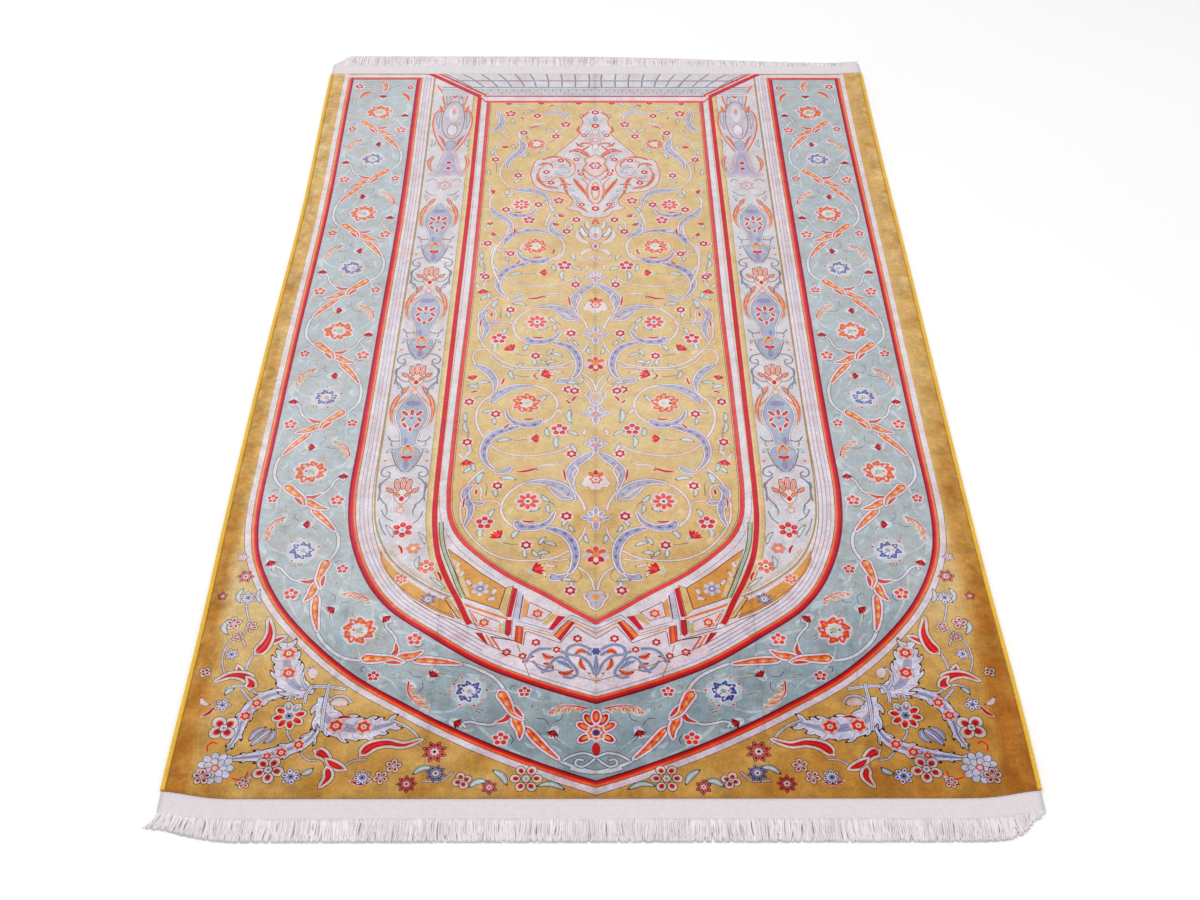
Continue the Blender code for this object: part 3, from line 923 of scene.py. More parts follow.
# ---------------------------------------------------------------- the field's far part
TOP_BLADES = (
    # look, shape, width, places from head to tip
    ("stem", "stem", 1.5, (241, 655, 234, 675, 230.5, 698, 234, 720, 242, 737, 246, 752, 244, 768)),
    ("lavender", "crescent", 6.0, (224, 796, 230, 784, 240, 776, 248, 765, 251, 752)),
    ("violet", "crescent", 7.0, (243, 726, 248, 739, 258, 748.5, 271, 752, 284, 751, 295, 746)),
    ("stem", "stem", 1.5, (294, 747, 304, 740, 310.5, 729, 311.5, 716, 308, 703, 301, 696)),
    ("stem", "stem", 1.5, (279, 826, 288, 816, 294, 803, 295, 788, 291, 773, 289, 762)),
    ("cream_leaf", "leaf", 3.0, (262, 712, 263, 722, 268, 731)),
    ("ember", "leaf", 2.6, (296, 706, 300, 712, 299, 719)),
    ("ember", "leaf", 2.6, (252, 742, 254, 750, 253, 758)),
    ("stem", "stem", 1.3, (251, 957, 254, 940, 252, 922, 244, 908, 236.5, 893,
                           232, 875, 233, 858, 240, 845, 250, 836)),
    ("lavender", "crescent", 6.4, (250, 834, 258, 832.5, 270, 831.5, 282, 826, 290.5, 814, 292, 802)),
    ("stem", "stem", 1.4, (224, 796, 222, 806, 223, 816, 227, 822)),
    ("violet", "club", 6.6, (246, 786, 254, 781, 264, 781, 273, 786, 278, 796)),
    ("ember", "leaf", 2.4, (250, 788, 257, 787, 264, 789)),
    ("lavender", "crescent", 6.4, (254, 940, 258, 926, 254, 912, 246, 902, 240, 889, 240, 876)),
    ("cream_leaf", "leaf", 3.0, (262, 968, 270, 975, 281, 977, 290, 974)),
    ("ember", "leaf", 2.6, (263, 964, 270, 969, 279, 971)),
    ("stem", "stem", 1.0, (227, 899, 224, 915, 228, 932, 238, 946, 248, 955)),
    ("stem", "stem", 1.0, (224, 985, 222, 1000, 228, 1013, 240, 1019, 256, 1018, 270, 1012)),
    ("stem", "stem", 1.0, (298, 948, 306, 958, 310, 972, 312, 990, 318, 1004)),
    ("stem", "stem", 1.0, (222, 820, 220, 836, 222, 850)),
    ("lavender", "crescent", 5.6, (219, 960, 226, 968, 230, 980, 228, 994, 222, 1004)),
    ("sky", "leaf", 4.2, (283, 1000, 294, 1004, 305, 1000, 311, 990)),
    ("stem", "stem", 1.1, (337, 770, 330, 776, 322, 775, 314, 768, 312, 757)),
    ("lavender", "crescent", 5.4, (312, 741, 304, 744, 297, 752, 296, 764, 300, 774)),
    ("twig", "thorn", 1.0, (262, 940, 262, 950, 258, 956)),
    ("twig", "thorn", 1.0, (290, 935, 296, 940, 298, 946)),
    ("twig", "thorn", 1.0, (281, 803, 290, 812, 303, 812)),
    ("twig", "thorn", 1.0, (227, 870, 227, 882, 225, 894)),
)
TOP_LEAVES = (
    # look, length, width, x, y, turn in degrees
    ("greenery", 9, 4, 262, 905, 60), ("greenery", 8, 3.6, 247, 925, 110),
    ("greenery", 8, 3.6, 222, 912, 80), ("greenery", 8, 3.6, 233, 958, 40),
    ("greenery", 9, 3.8, 290, 961, -30), ("greenery", 9, 3.8, 284, 916, 30),
    ("greenery", 8, 3.6, 244, 983, 100), ("greenery", 9, 3.8, 262, 1004, 20),
    ("greenery", 8, 3.6, 302, 1014, 150), ("greenery", 9, 3.8, 243, 828, 80),
    ("greenery", 8, 3.6, 254, 851, 40), ("greenery", 8, 3.6, 298, 792, 70),
    ("greenery", 8, 3.6, 246, 820, 30), ("greenery", 8, 3.6, 320, 758, 90),
    ("greenery", 9, 3.8, 305, 782, 20), ("greenery", 8, 3.4, 314, 1022, 60),
    ("greenery", 8, 3.4, 219, 870, 100), ("cream_leaf", 9, 3.4, 300, 961, 80),
    ("ember", 8, 2.8, 292, 1018, 30), ("ember", 7, 2.6, 256, 990, 130), ("faint", 9, 4, 268, 950, 100),
    ("greenery", 8, 3.6, 224, 760, 70), ("greenery", 8, 3.6, 232, 742, 120),
    ("greenery", 9, 3.8, 262, 750, 10),
)
TOP_RINGS = (
    # radius, x, y
    (4.6, 242, 793), (4.6, 280, 803), (4.6, 254, 863), (4.6, 225, 897), (4.6, 258, 956), (4.6, 298, 948),
    (4.6, 274, 995), (4.6, 325, 773), (4.6, 314, 750), (4.6, 224, 727), (4.4, 251, 708), (4.4, 225, 666),
)
TOP_BUDS = (
    # size, turn in degrees, x, y
    (5.6, 90, 236, 922), (5.4, 60, 306, 779), (5.2, 90, 237, 1021), (5.2, 90, 278, 1022),
    (5.2, 90, 326, 1022), (5.4, 200, 227, 830), (5.4, 60, 300, 762), (5.0, 100, 225, 763),
    (5.0, 30, 228, 743),
)
TOP_BLOOMS = (
    # kind, petals, radius, x, y
    ("red", 5, 7.0, 240, 1000), ("red", 5, 7.0, 270, 772), ("red", 5, 6.6, 304, 811),
    ("red", 5, 6.6, 310, 975),
)
MEDALLION = places(
    AXIS, 1013, 339, 1008, 335, 1000, 327, 995, 331, 985, 330, 972, 327, 965, 328, 955, 323, 945,
    317, 935, 310, 925, 303, 915, 297, 905, 290, 902, 283, 899, 276, 896, 273, 890, 271, 880, 269, 868,
    270, 858, 272, 848, 276, 840, 284, 833, 294, 829, 305, 828, 312, 825, 318, 818, 320, 808, 317, 800,
    312, 797, 320, 792, 328, 788, 331, 782, 338, 778, AXIS, 776,
)
MEDALLION_RINGS = (
    # radius, x, y
    (4.0, 288, 870), (4.0, 294, 848), (4.0, 305, 895), (3.8, 324, 897), (3.6, 330, 866), (3.6, 331, 803),
    (3.6, 333, 950), (4.6, AXIS, 972), (4.6, AXIS, 1003), (4.4, AXIS, 795),
)
MEDALLION_BLADES = (
    # look, shape, width, places from head to tip
    ("sky", "leaf", 3.4, (286, 862, 290, 858, 296, 860)),
    ("sky", "leaf", 3.4, (321, 912, 327, 906, 330, 898)),
    ("sky", "leaf", 3.0, (336, 940, 338, 950, 337, 960)),
    ("greenery", "leaf", 2.2, (279, 876, 283, 880, 284, 886)),
    ("greenery", "leaf", 2.2, (308, 870, 313, 868, 316, 872)),
    ("greenery", "leaf", 2.2, (334, 912, 338, 908, 339, 902)),
    ("greenery", "leaf", 2.2, (298, 838, 304, 840, 306, 846)),
    ("ember", "leaf", 2.4, (306, 888, 309, 882, 308, 876)),
    ("ember", "leaf", 2.4, (327, 878, 326, 872, 328, 866)),
    ("ember", "leaf", 2.4, (341, 980, 343, 974, 342, 968)),
    ("scroll", "crescent", 4.6, (302, 862, 308, 852, 311, 840, 313, 828, 318, 816)),
    ("scroll", "crescent", 5.0, (321, 856, 327, 843, 333, 831, 338, 820, 346, 811)),
    ("scroll", "crescent", 4.4, (277, 868, 279, 854, 286, 842, 296, 834)),
    ("scroll", "crescent", 3.6, (283, 896, 292, 902, 303, 902, 312, 895, 317, 885, 313, 876)),
    ("scroll", "crescent", 4.2, (315, 913, 325, 919, 334, 913, 340, 902, 341, 890)),
    ("scroll", "crescent", 3.6, (325, 926, 333, 933, 340, 932, 345, 925)),
    ("scroll", "crescent", 3.4, (337, 884, 332, 873, 334, 861, 341, 853)),
    ("scroll", "crescent", 3.2, (278, 884, 285, 889, 293, 886, 296, 878)),
    ("scroll", "leaf", 3.0, (329, 988, 334, 998, 342, 1004)),
    ("scroll", "leaf", 3.0, (327, 972, 325, 961, 331, 952)),
    ("scroll", "leaf", 3.0, (323, 801, 330, 797, 338, 788)),
    ("scroll", "leaf", 3.0, (290, 841, 297, 838, 303, 834)),
    ("ember", "crescent", 3.2, (313, 915, 322, 916, 331, 911, 339, 902, 345, 892)),
    ("ember", "crescent", 2.6, (327, 913, 333, 919, 338, 925, 342, 933)),
    ("outline", "stem", 1.0, (300, 902, 310, 900, 318, 894, 322, 884,
                              322, 871, 318, 862, 309, 857, 300, 860)),
    ("outline", "stem", 1.0, (300, 860, 294, 853, 284, 850, 279, 858,
                              279, 872, 284, 884, 293, 889, 300, 896)),
    ("mist_stem", "stem", 1.0, (335, 990, 341, 982, 344, 968, 341, 955, 336, 945)),
    ("ember", "leaf", 2.8, (322, 936, 327, 928, 335, 924)),
    ("ember", "leaf", 2.8, (303, 842, 312, 845, 320, 843)),
    ("outline", "stem", 1.0, (330, 858, 337, 845, 336, 830, 338, 815, 345, 803)),
    ("sky", "leaf", 4.2, (302, 880, 310, 880, 316, 874)),
    ("sky", "leaf", 4.0, (300, 872, 303, 864, 310, 862)),
    ("lavender", "leaf", 3.6, (320, 822, 326, 812, 325, 801)),
    ("greenery", "leaf", 3.4, (309, 835, 316, 834, 322, 830)),
)


WINGS = (
    # look, shape, width, places from head to tip
    ("cream_leaf", "crescent", 6.0, (341, 727, 331, 733, 326, 744, 328, 757)),
    ("lobe_edge", "leaf", 5.6, (339, 740, 332, 748, 331, 760)),
    ("lobe", "leaf", 5.6, (339, 740, 332, 748, 331, 760)),
    ("cream_leaf", "leaf", 4.6, (342, 755, 337, 763, 339, 772)),
    ("cream_leaf", "leaf", 5.0, (345, 717, 336, 713, 329, 704)),
    ("stem", "stem", 1.1, (329, 704, 333, 697, 340, 697, 344, 704)),
    ("twig", "stem", 0.8, (335, 735, 331, 742, 330, 750)),
    ("twig", "stem", 0.8, (339, 752, 335, 758, 335, 766)),
    ("scroll", "leaf", 3.0, (343, 764, 345, 769, AXIS, 775)),
)


VASE_OVALS = (
    # kind, x, y, half length, half width, turn, dye, points
    ("oval", AXIS, 747, 15, 8.5, UP, "taupe", 14),
    ("oval", AXIS, 747, 14, 7.6, UP, "lilac", 14),
    ("oval", AXIS, 751, 8, 4.4, UP, "mist", 14),
    ("oval", AXIS, 742, 5, 3.0, UP, "rose", 14),
    ("oval", AXIS, 722, 8, 5.0, UP, "taupe", 14),
    ("oval", AXIS, 722, 7, 4.2, UP, "blush", 14),
    ("oval", AXIS, 722, 3.6, 2.0, UP, "coral", 14),
)
CARTOUCHE = (AXIS, 908, 341, 903, 334, 898, 336, 888, 333, 879, 337, 870, 341, 864, AXIS, 860)
AXIS_FLOWERS = (
    # oval as above. scallop: x, y, radius, lobes, depth, dye
    ("scallop", AXIS, 884, 7.0, 6, 0.16, "crimson"),
    ("scallop", AXIS, 884, 4.6, 6, 0.16, "ivory"),
    ("oval", AXIS, 884, 1.8, 1.8, 0, "violet", 8),
    ("oval", AXIS, 831, 26.0, 9.5, UP, "plum", 20),
    ("oval", AXIS, 831, 25.0, 8.7, UP, "blush", 20),
    ("oval", AXIS, 831, 19.0, 5.4, UP, "orange", 16),
    ("oval", AXIS, 831, 16.0, 3.6, UP, "ivory", 16),
    ("scallop", AXIS, 836, 4.4, 5, 0.2, "crimson"),
    ("oval", AXIS, 836, 1.6, 1.6, 0, "ivory", 8),
)
AXIS_CLOUDS = ((940, 12.0, "lilac"), (925, 7.0, "blush"), (958, 7.0, "blush"))  # y, half length, dye
AXIS_TOP = (
    # kind and sizes as above
    ("scallop", AXIS, 940, 5.2, 6, 0.16, "rose"),
    ("scallop", AXIS, 940, 3.0, 6, 0.16, "ivory"),
    ("oval", AXIS, 988, 6.0, 3.2, UP, "violet"),
    ("oval", AXIS, 988, 4.0, 1.8, UP, "lavender", 8),
)


def draw_medallion(drawing):
    """The medallion with the cartouche and the flowers on its axis."""
    edge = smooth_line(MEDALLION)
    inside = places(AXIS, 770, AXIS, 1020)
    drawing.area(beside(edge, -1.5) + inside, "blush")
    drawing.area(beside(edge, -0.7) + inside, "wine")
    drawing.area(edge, "apricot")
    drawing.area(beside(edge, 1.2), "lamp")
    drawing.leaves(MEDALLION_BLADES)
    for radius, x, y in MEDALLION_RINGS:
        drawing.rosette(complex(x, y), radius)
    cartouche = smooth_line(places(*CARTOUCHE))
    drawing.area(beside(cartouche, -1.0), "plum")
    drawing.area(cartouche, "apricot")
    drawing.area(beside(cartouche, 2.2), "blush")
    drawing.paint(AXIS_FLOWERS)
    for y, size, dye in AXIS_CLOUDS:
        drawing.oval(complex(AXIS, y), size, size * 0.62, UP, "taupe", 14)
        drawing.oval(complex(AXIS, y), size - 0.8, size * 0.62 - 0.8, UP, dye, 14)
    drawing.paint(AXIS_TOP)


def draw_far_field(drawing):
    """The medallion, the vase under it and the scrolls beside them, over the field's last copy."""
    drawing.area(places(196, 733, AXIS, 700, AXIS, 1160, 196, 1160), "gold")
    draw_flowers(drawing, TOP_BLADES, TOP_LEAVES, TOP_RINGS, TOP_BUDS, TOP_BLOOMS)
    orange_flower(drawing, complex(274, 931), 11.0)
    drawing.bloom(complex(260, 803), 10.0, 8, "star")
    orange_flower(drawing, complex(279, 722), 13.0)
    drawing.blades(WINGS)
    drawing.paint(VASE_OVALS)
    draw_medallion(drawing)


# ---------------------------------------------------------------- the lamp band
LAMP_AXIS = 163.5
LAMP_ROWS = (435.0, 600.0, 765.0)
LAMP_VASE = (
    0, 41, -5, 34, -10, 27, -13.5, 19, -15.5, 11, -15.8, 3,
    -14, -5, -11, -13, -8.5, -21, -7.5, -29, -7, -36, 0, -38,
)
LAMP_FOOT = (0, -36, -6, -38, -12, -42, -13, -48, -11, -56, -8, -64, -6, -71, 0, -75)
LAMP_BLADES = (
    # look, shape, width, places relative to the lamp's ring, left side
    ("arm", "crescent", 4.6, (-13, 40, -17.5, 30, -20.5, 18, -20.5, 4, -17, -8)),
    ("arm", "leaf", 4.6, (-13.5, 36, -10.5, 44, -7, 50)),
    ("outline", "stem", 0.9, (-8, 33, -13, 27, -18.5, 19, -21.5, 9, -20, -3)),
    ("twig", "stem", 1.2, (-21, -24, -17, -30, -11, -30.5, -8, -29)),
    ("twig", "stem", 0.8, (-16, -30, -17, -35, -15, -38)),
    ("twig", "stem", 1.2, (-15, -45, -12.5, -55, -8, -66, -3, -73)),
    ("twig", "stem", 1.2, (-9, -64, -14, -65, -20, -68, -22.5, -74,
                           -20, -79, -15, -79, -14, -74.5, -17, -73)),
    ("twig", "stem", 1.3, (-13, -80, -18, -85, -21.5, -92, -21, -103, -22, -112)),
    ("twig", "stem", 1.1, (-22, -104, -18, -112, -13, -118)),
    ("twig", "leaf", 2.4, (-21.5, -86, -22, -93, -20.5, -100)),
    ("twig", "thorn", 1.4, (-14, -118, -12, -126, -14, -133)),
    ("arm", "leaf", 5.0, (-15.5, -94, -12, -98, -7.5, -101)),
    ("greenery", "leaf", 2.2, (-20, -47, -17, -43, -14, -42)),
    ("greenery", "leaf", 2.4, (-20, 56, -17, 52, -17, 46)),
    ("twig", "stem", 0.9, (-20, 66, -16, 60, -11, 57, -6, 58)),
)
LAMP_PETALS = (
    # x, height, turn in degrees, length of the red petals on the vase, left side and middle
    (-7, 9.5, 130, 4.4),
    (0, 11, 90, 4.2),
    (-8.0, 0.5, 60, 3.6),
    (-6.2, -8, -60, 4.0),
    (0, -13.5, 90, 3.4),
)

LAMP_CLOUDS = (
    # kind, x, height, half length, half width, turn, dye, points
    ("oval", 0, 31, 6, 4, UP, "sky", 12),
    ("oval", 0, 24, 4, 8, UP, "violet", 12),
    ("oval", -10, 14, 6, 2.2, UP, "sky", 12),
    ("oval", 10, 14, 6, 2.2, UP, "lavender", 12),
    ("oval", -11, -2, 6, 2.0, UP, "lavender", 12),
    ("oval", 11, -2, 6, 2.0, UP, "sky", 12),
    ("oval", 0, -22, 5, 4, UP, "sky", 12),
    ("oval", -3, -30, 5, 2, UP, "violet", 12),
    ("oval", 4, -29, 5, 2, UP, "lavender", 12),
    ("oval", -8, -50, 6, 2.4, UP, "sky", 12),
    ("oval", 8, -50, 6, 2.4, UP, "lavender", 12),
    ("oval", 0, -64, 6, 3, UP, "violet", 12),
)
LAMP_ARCHES = (
    # oval: x, height, half length, half width, turn, dye, points
    # scallop: x, height, radius, lobes, depth, dye, turn, flatness
    ("scallop", 0, 0.5, 5.4, 6, 0.12, "sky", UP),
    ("oval", 0, 2.5, 1.6, 1.3, 0, "crimson", 8),
    ("scallop", 0, -44, 8.2, 3, 0.06, "ivory", UP, 0.75),
    ("scallop", 0, -44, 7.4, 3, 0.06, "orange", UP, 0.75),
    ("scallop", 0, -46.5, 4.6, 3, 0.06, "sky", UP, 0.75),
    ("oval", 0, -53, 3.3, 6.6, UP, "ivory", 12),
    ("oval", 0, -53, 2.9, 5.8, UP, "crimson", 12),
    ("oval", 0, -50.5, 1.6, 3.2, UP, "sky", 12),
    ("oval", 0, -56.5, 2.6, 1.8, UP, "coral", 8),
    ("oval", 0, -37.5, 1.7, 1.4, 0, "wine", 8),
    ("oval", -20, -58, 2.0, 2.0, 0, "blush", 8),
    ("oval", -20, -58, 1.4, 1.4, 0, "coral", 8),
    ("oval", 20, -58, 2.0, 2.0, 0, "blush", 8),
    ("oval", 20, -58, 1.4, 1.4, 0, "coral", 8),
    # the palmette that hangs under the lamp
    ("oval", 0, -98, 18.0, 8.8, UP, "plum", 20),
    ("oval", 0, -98, 17.2, 8.0, UP, "ivory", 20),
)
HANGER_PETALS = ((-5.4, -91, 1.75), (5.4, -91, 1.39), (0, -89, UP))  # x, height, turn
HANGER_FOOT = (
    # kind and sizes as for the arches
    ("oval", 0, -109, 4.4, 3.4, UP, "ivory", 10),
    ("oval", 0, -109, 3.4, 2.4, UP, "crimson", 10),
    ("oval", 0, -118, 3.4, 2.4, UP, "apricot", 8),
    ("scallop", 0, -124, 4.0, 5, 0.2, "rose"),
    ("scallop", 0, -124, 2.8, 5, 0.2, "ivory"),
)
TALL_AXIS = 168
TALL_SIDE = (143, 1067, 150, 1050, 153, 1030, 155, 1015, 147, 1005, 143, 985, 145, 960, 150, 940, 160, 915)
TALL_BELL = (0, 918, 6, 912, 9, 902, 11, 888, 15, 874, 22, 864, 14, 861, 6, 865, 0, 862)
BELL_RIMS = (  # offset, dye
    (1.5, "slate"), (0.9, "mist"), (-0.2, "rose"), (-1.2, "lilac"), (-2.8, "lavender"),
)
TALL_LEAVES = (
    # look, shape, width, places from head to tip
    ("blue_leaf", "leaf", 5.0, (156, 1048, 160, 1034, 158, 1020)),
    ("blue_leaf", "leaf", 5.0, (176, 1040, 175, 1030, 178, 1020)),
    ("blue_leaf", "crescent", 4.4, (151, 1005, 149, 985, 151, 965)),
    ("blue_leaf", "crescent", 4.4, (185, 1005, 187, 985, 185, 965)),
    ("scroll", "leaf", 3.4, (150, 1018, 153, 1006, 159, 1000)),
    ("scroll", "leaf", 3.4, (186, 1018, 183, 1006, 177, 1000)),
    ("scroll", "leaf", 3.2, (152, 950, 157, 940, 161, 926)),
    ("scroll", "leaf", 3.2, (184, 950, 179, 940, 175, 926)),
    ("ember", "leaf", 3.0, (163, 1046, 167, 1038, 171, 1046)),
    ("twig", "stem", 0.7, (160, 1062, 164, 1050, 170, 1042, 180, 1034)),
)
TALL_OVALS = (
    # kind, x, y, half length, half width, turn, dye, points
    ("oval", TALL_AXIS, 985, 44, 15, UP, "taupe", 20),
    ("oval", TALL_AXIS, 985, 42, 13.5, UP, "lilac", 20),
    ("oval", TALL_AXIS, 962, 13, 6.8, UP, "slate", 16),
    ("oval", TALL_AXIS, 962, 12, 5.8, UP, "frost", 16),
    ("oval", TALL_AXIS, 1000, 20, 6, UP, "mist", 14),
    ("oval", TALL_AXIS, 1004, 9, 3.0, UP, "petal", 12),
    ("oval", TALL_AXIS, 1004, 5, 1.4, UP, "rose", 10),
)
TALL_DOTS = ((160, 990), (176, 990), (168, 978), (161, 974), (175, 974), (168, 948))  # x, y
TALL_FOOT = (
    # kind and sizes as for the arches
    ("oval", TALL_AXIS, 928, 11, 7.4, UP, "slate", 14),
    ("oval", TALL_AXIS, 928, 10, 6.4, UP, "lavender", 14),
    ("oval", TALL_AXIS, 931, 6, 3.4, UP, "sky", 12),
    ("oval", TALL_AXIS, 893, 9, 3.6, UP, "sky", 12),
    ("scallop", TALL_AXIS, 890, 4.0, 5, 0.2, "mist"),
    ("scallop", TALL_AXIS, 890, 3.0, 5, 0.2, "crimson"),
    ("scallop", TALL_AXIS, 878, 4.0, 5, 0.2, "mist"),
    ("scallop", TALL_AXIS, 878, 3.0, 5, 0.2, "crimson"),
    ("bloom", 166, 842, 8.6, 6, "pink"),
)
TALL_SPRAYS = (
    # look, shape, width, places from head to tip
    ("arm", "crescent", 4.2, (149, 905, 144, 893, 145, 880, 150, 868)),
    ("arm", "crescent", 4.2, (187, 905, 191, 893, 190, 880, 185, 868)),
    ("twig", "stem", 0.9, (144, 850, 150, 856, 156, 852)),
    ("twig", "stem", 0.9, (185, 850, 181, 856, 175, 852)),
    ("greenery", "leaf", 3, (144, 925, 147, 932, 144, 940)),
    ("greenery", "leaf", 3, (189, 925, 187, 932, 189, 940)),
)
BAND_ZONES = ((-2.6, "gold_pale"), (-4.4, "gold"), (-7.6, "olive"), (-8.4, "lamp"))  # offset, dye
BAND_FLOWERS = (
    # bloom: x, y, radius, petals, colours. scallop: x, y, radius, lobes, depth, dye
    ("bloom", 168, 286, 9.5, 6, "red"),
    ("scallop", 180, 263, 6.4, 6, 0.14, "rose"),
    ("scallop", 180, 263, 4.2, 6, 0.14, "orange"),
    ("scallop", 180, 263, 2.2, 5, 0.14, "ivory"),
    ("bloom", 193, 241, 8.2, 6, "orange"),
)
BAND_LEAVES = (
    # look, shape, width, places from head to tip
    ("twig", "stem", 0.9, (146, 312, 150, 303, 158, 297)),
    ("twig", "stem", 0.9, (185, 310, 182, 300, 177, 294)),
    ("greenery", "leaf", 3.4, (152, 292, 157, 285, 160, 277)),
    ("greenery", "leaf", 3.2, (183, 283, 188, 276, 190, 268)),
    ("ember", "leaf", 2.8, (165, 268, 169, 262, 170, 255)),
    ("greenery", "leaf", 3.4, (186, 253, 184, 246, 186, 238)),
    ("ember", "leaf", 2.8, (203, 236, 207, 229, 208, 222)),
    ("greenery", "leaf", 3.0, (198, 228, 204, 223, 212, 215)),
    ("twig", "stem", 0.8, (145, 300, 148, 289, 153, 279)),
)


def draw_lamp(drawing, y):
    """One hanging lamp with its palmette."""

    def at(x, up):
        return complex(LAMP_AXIS + x, y + up)

    for numbers in (LAMP_FOOT, LAMP_VASE):
        outline = smooth_line(places(*numbers))
        for grow, dye in ((-1.6, "slate"), (-1.1, "ivory"), (0.3, "plum"), (0.8, "vase")):
            points = beside(outline, grow)
            drawing.area([at(p.real, p.imag) for p in points], dye)
            drawing.area([at(-p.real, p.imag) for p in points], dye)
    for side in (-1, 1):
        for look, shape, width, numbers in LAMP_BLADES:
            drawing.leaf(look, shape, width, [at(-side * p.real, p.imag) for p in places(*numbers)])
    drawing.paint(LAMP_CLOUDS, at)
    for grow, dye, tip in ((1.2, "ivory", "ivory"), (0.0, "crimson", "coral")):
        for x, up, turn, length in LAMP_PETALS:
            for side in (-1, 1) if x else (1,):
                angle = math.radians(turn if side > 0 else 180 - turn)
                middle = at(x * side, up)
                drawing.oval(middle, length + grow, length * 0.46 + grow, angle, dye, 12)
                drawing.oval(middle, length * 0.45, length * 0.2, angle, tip, 8)
    drawing.paint(LAMP_ARCHES, at)
    for x, up, turn in HANGER_PETALS:
        for shrink, dye in ((0.0, "wine"), (0.7, "petal"), (1.9, "coral"), (2.5, "gold_pale")):
            drawing.oval(at(x, up), 8.6 - 1.6 * shrink, 3.1 - shrink, turn, dye, 12)
    for x in (-4.6, 4.6):
        drawing.oval(at(x, -103.5), 4.6, 2.2, UP - x * 0.12, "wine", 10)
        drawing.oval(at(x, -103.5), 4.0, 1.6, UP - x * 0.12, "orange", 10)
    drawing.paint(HANGER_FOOT, at)


def draw_tall_lamp(drawing):
    """The last lamp at the far end, longer than the others."""
    left_side = smooth_line(places(*TALL_SIDE))
    right_side = [2 * TALL_AXIS - 1 - p.conjugate() for p in left_side]
    drawing.area(left_side + right_side[::-1], "lilac")
    drawing.blades(TALL_LEAVES)
    drawing.paint(TALL_OVALS)
    for x, y in TALL_DOTS:
        drawing.scallop(complex(x, y), 3.0, 5, 0.2, "slate")
        drawing.scallop(complex(x, y), 2.4, 5, 0.2, "blush")
        drawing.oval(complex(x, y), 0.8, 0.8, 0, "coral", 8)
    drawing.blade("outline", "stem", 1.6, left_side)
    drawing.blade("outline", "stem", 1.6, right_side)
    bell = smooth_line(places(*TALL_BELL))
    for side in (-1, 1):
        for offset, dye in BELL_RIMS:
            points = beside(bell, offset)
            drawing.area([complex(TALL_AXIS + side * p.real, p.imag) for p in points], dye)
    drawing.paint(TALL_FOOT)
    drawing.leaves(TALL_SPRAYS)


def draw_lamp_band(drawing):
    """The pale band with hanging lamps, between the field's lines and the outer white band."""
    drawing.zones(SECOND_LINE, BAND_ZONES)
    for y in LAMP_ROWS:
        draw_lamp(drawing, y)
    drawing.paint(BAND_FLOWERS)
    drawing.leaves(BAND_LEAVES)
    draw_tall_lamp(drawing)


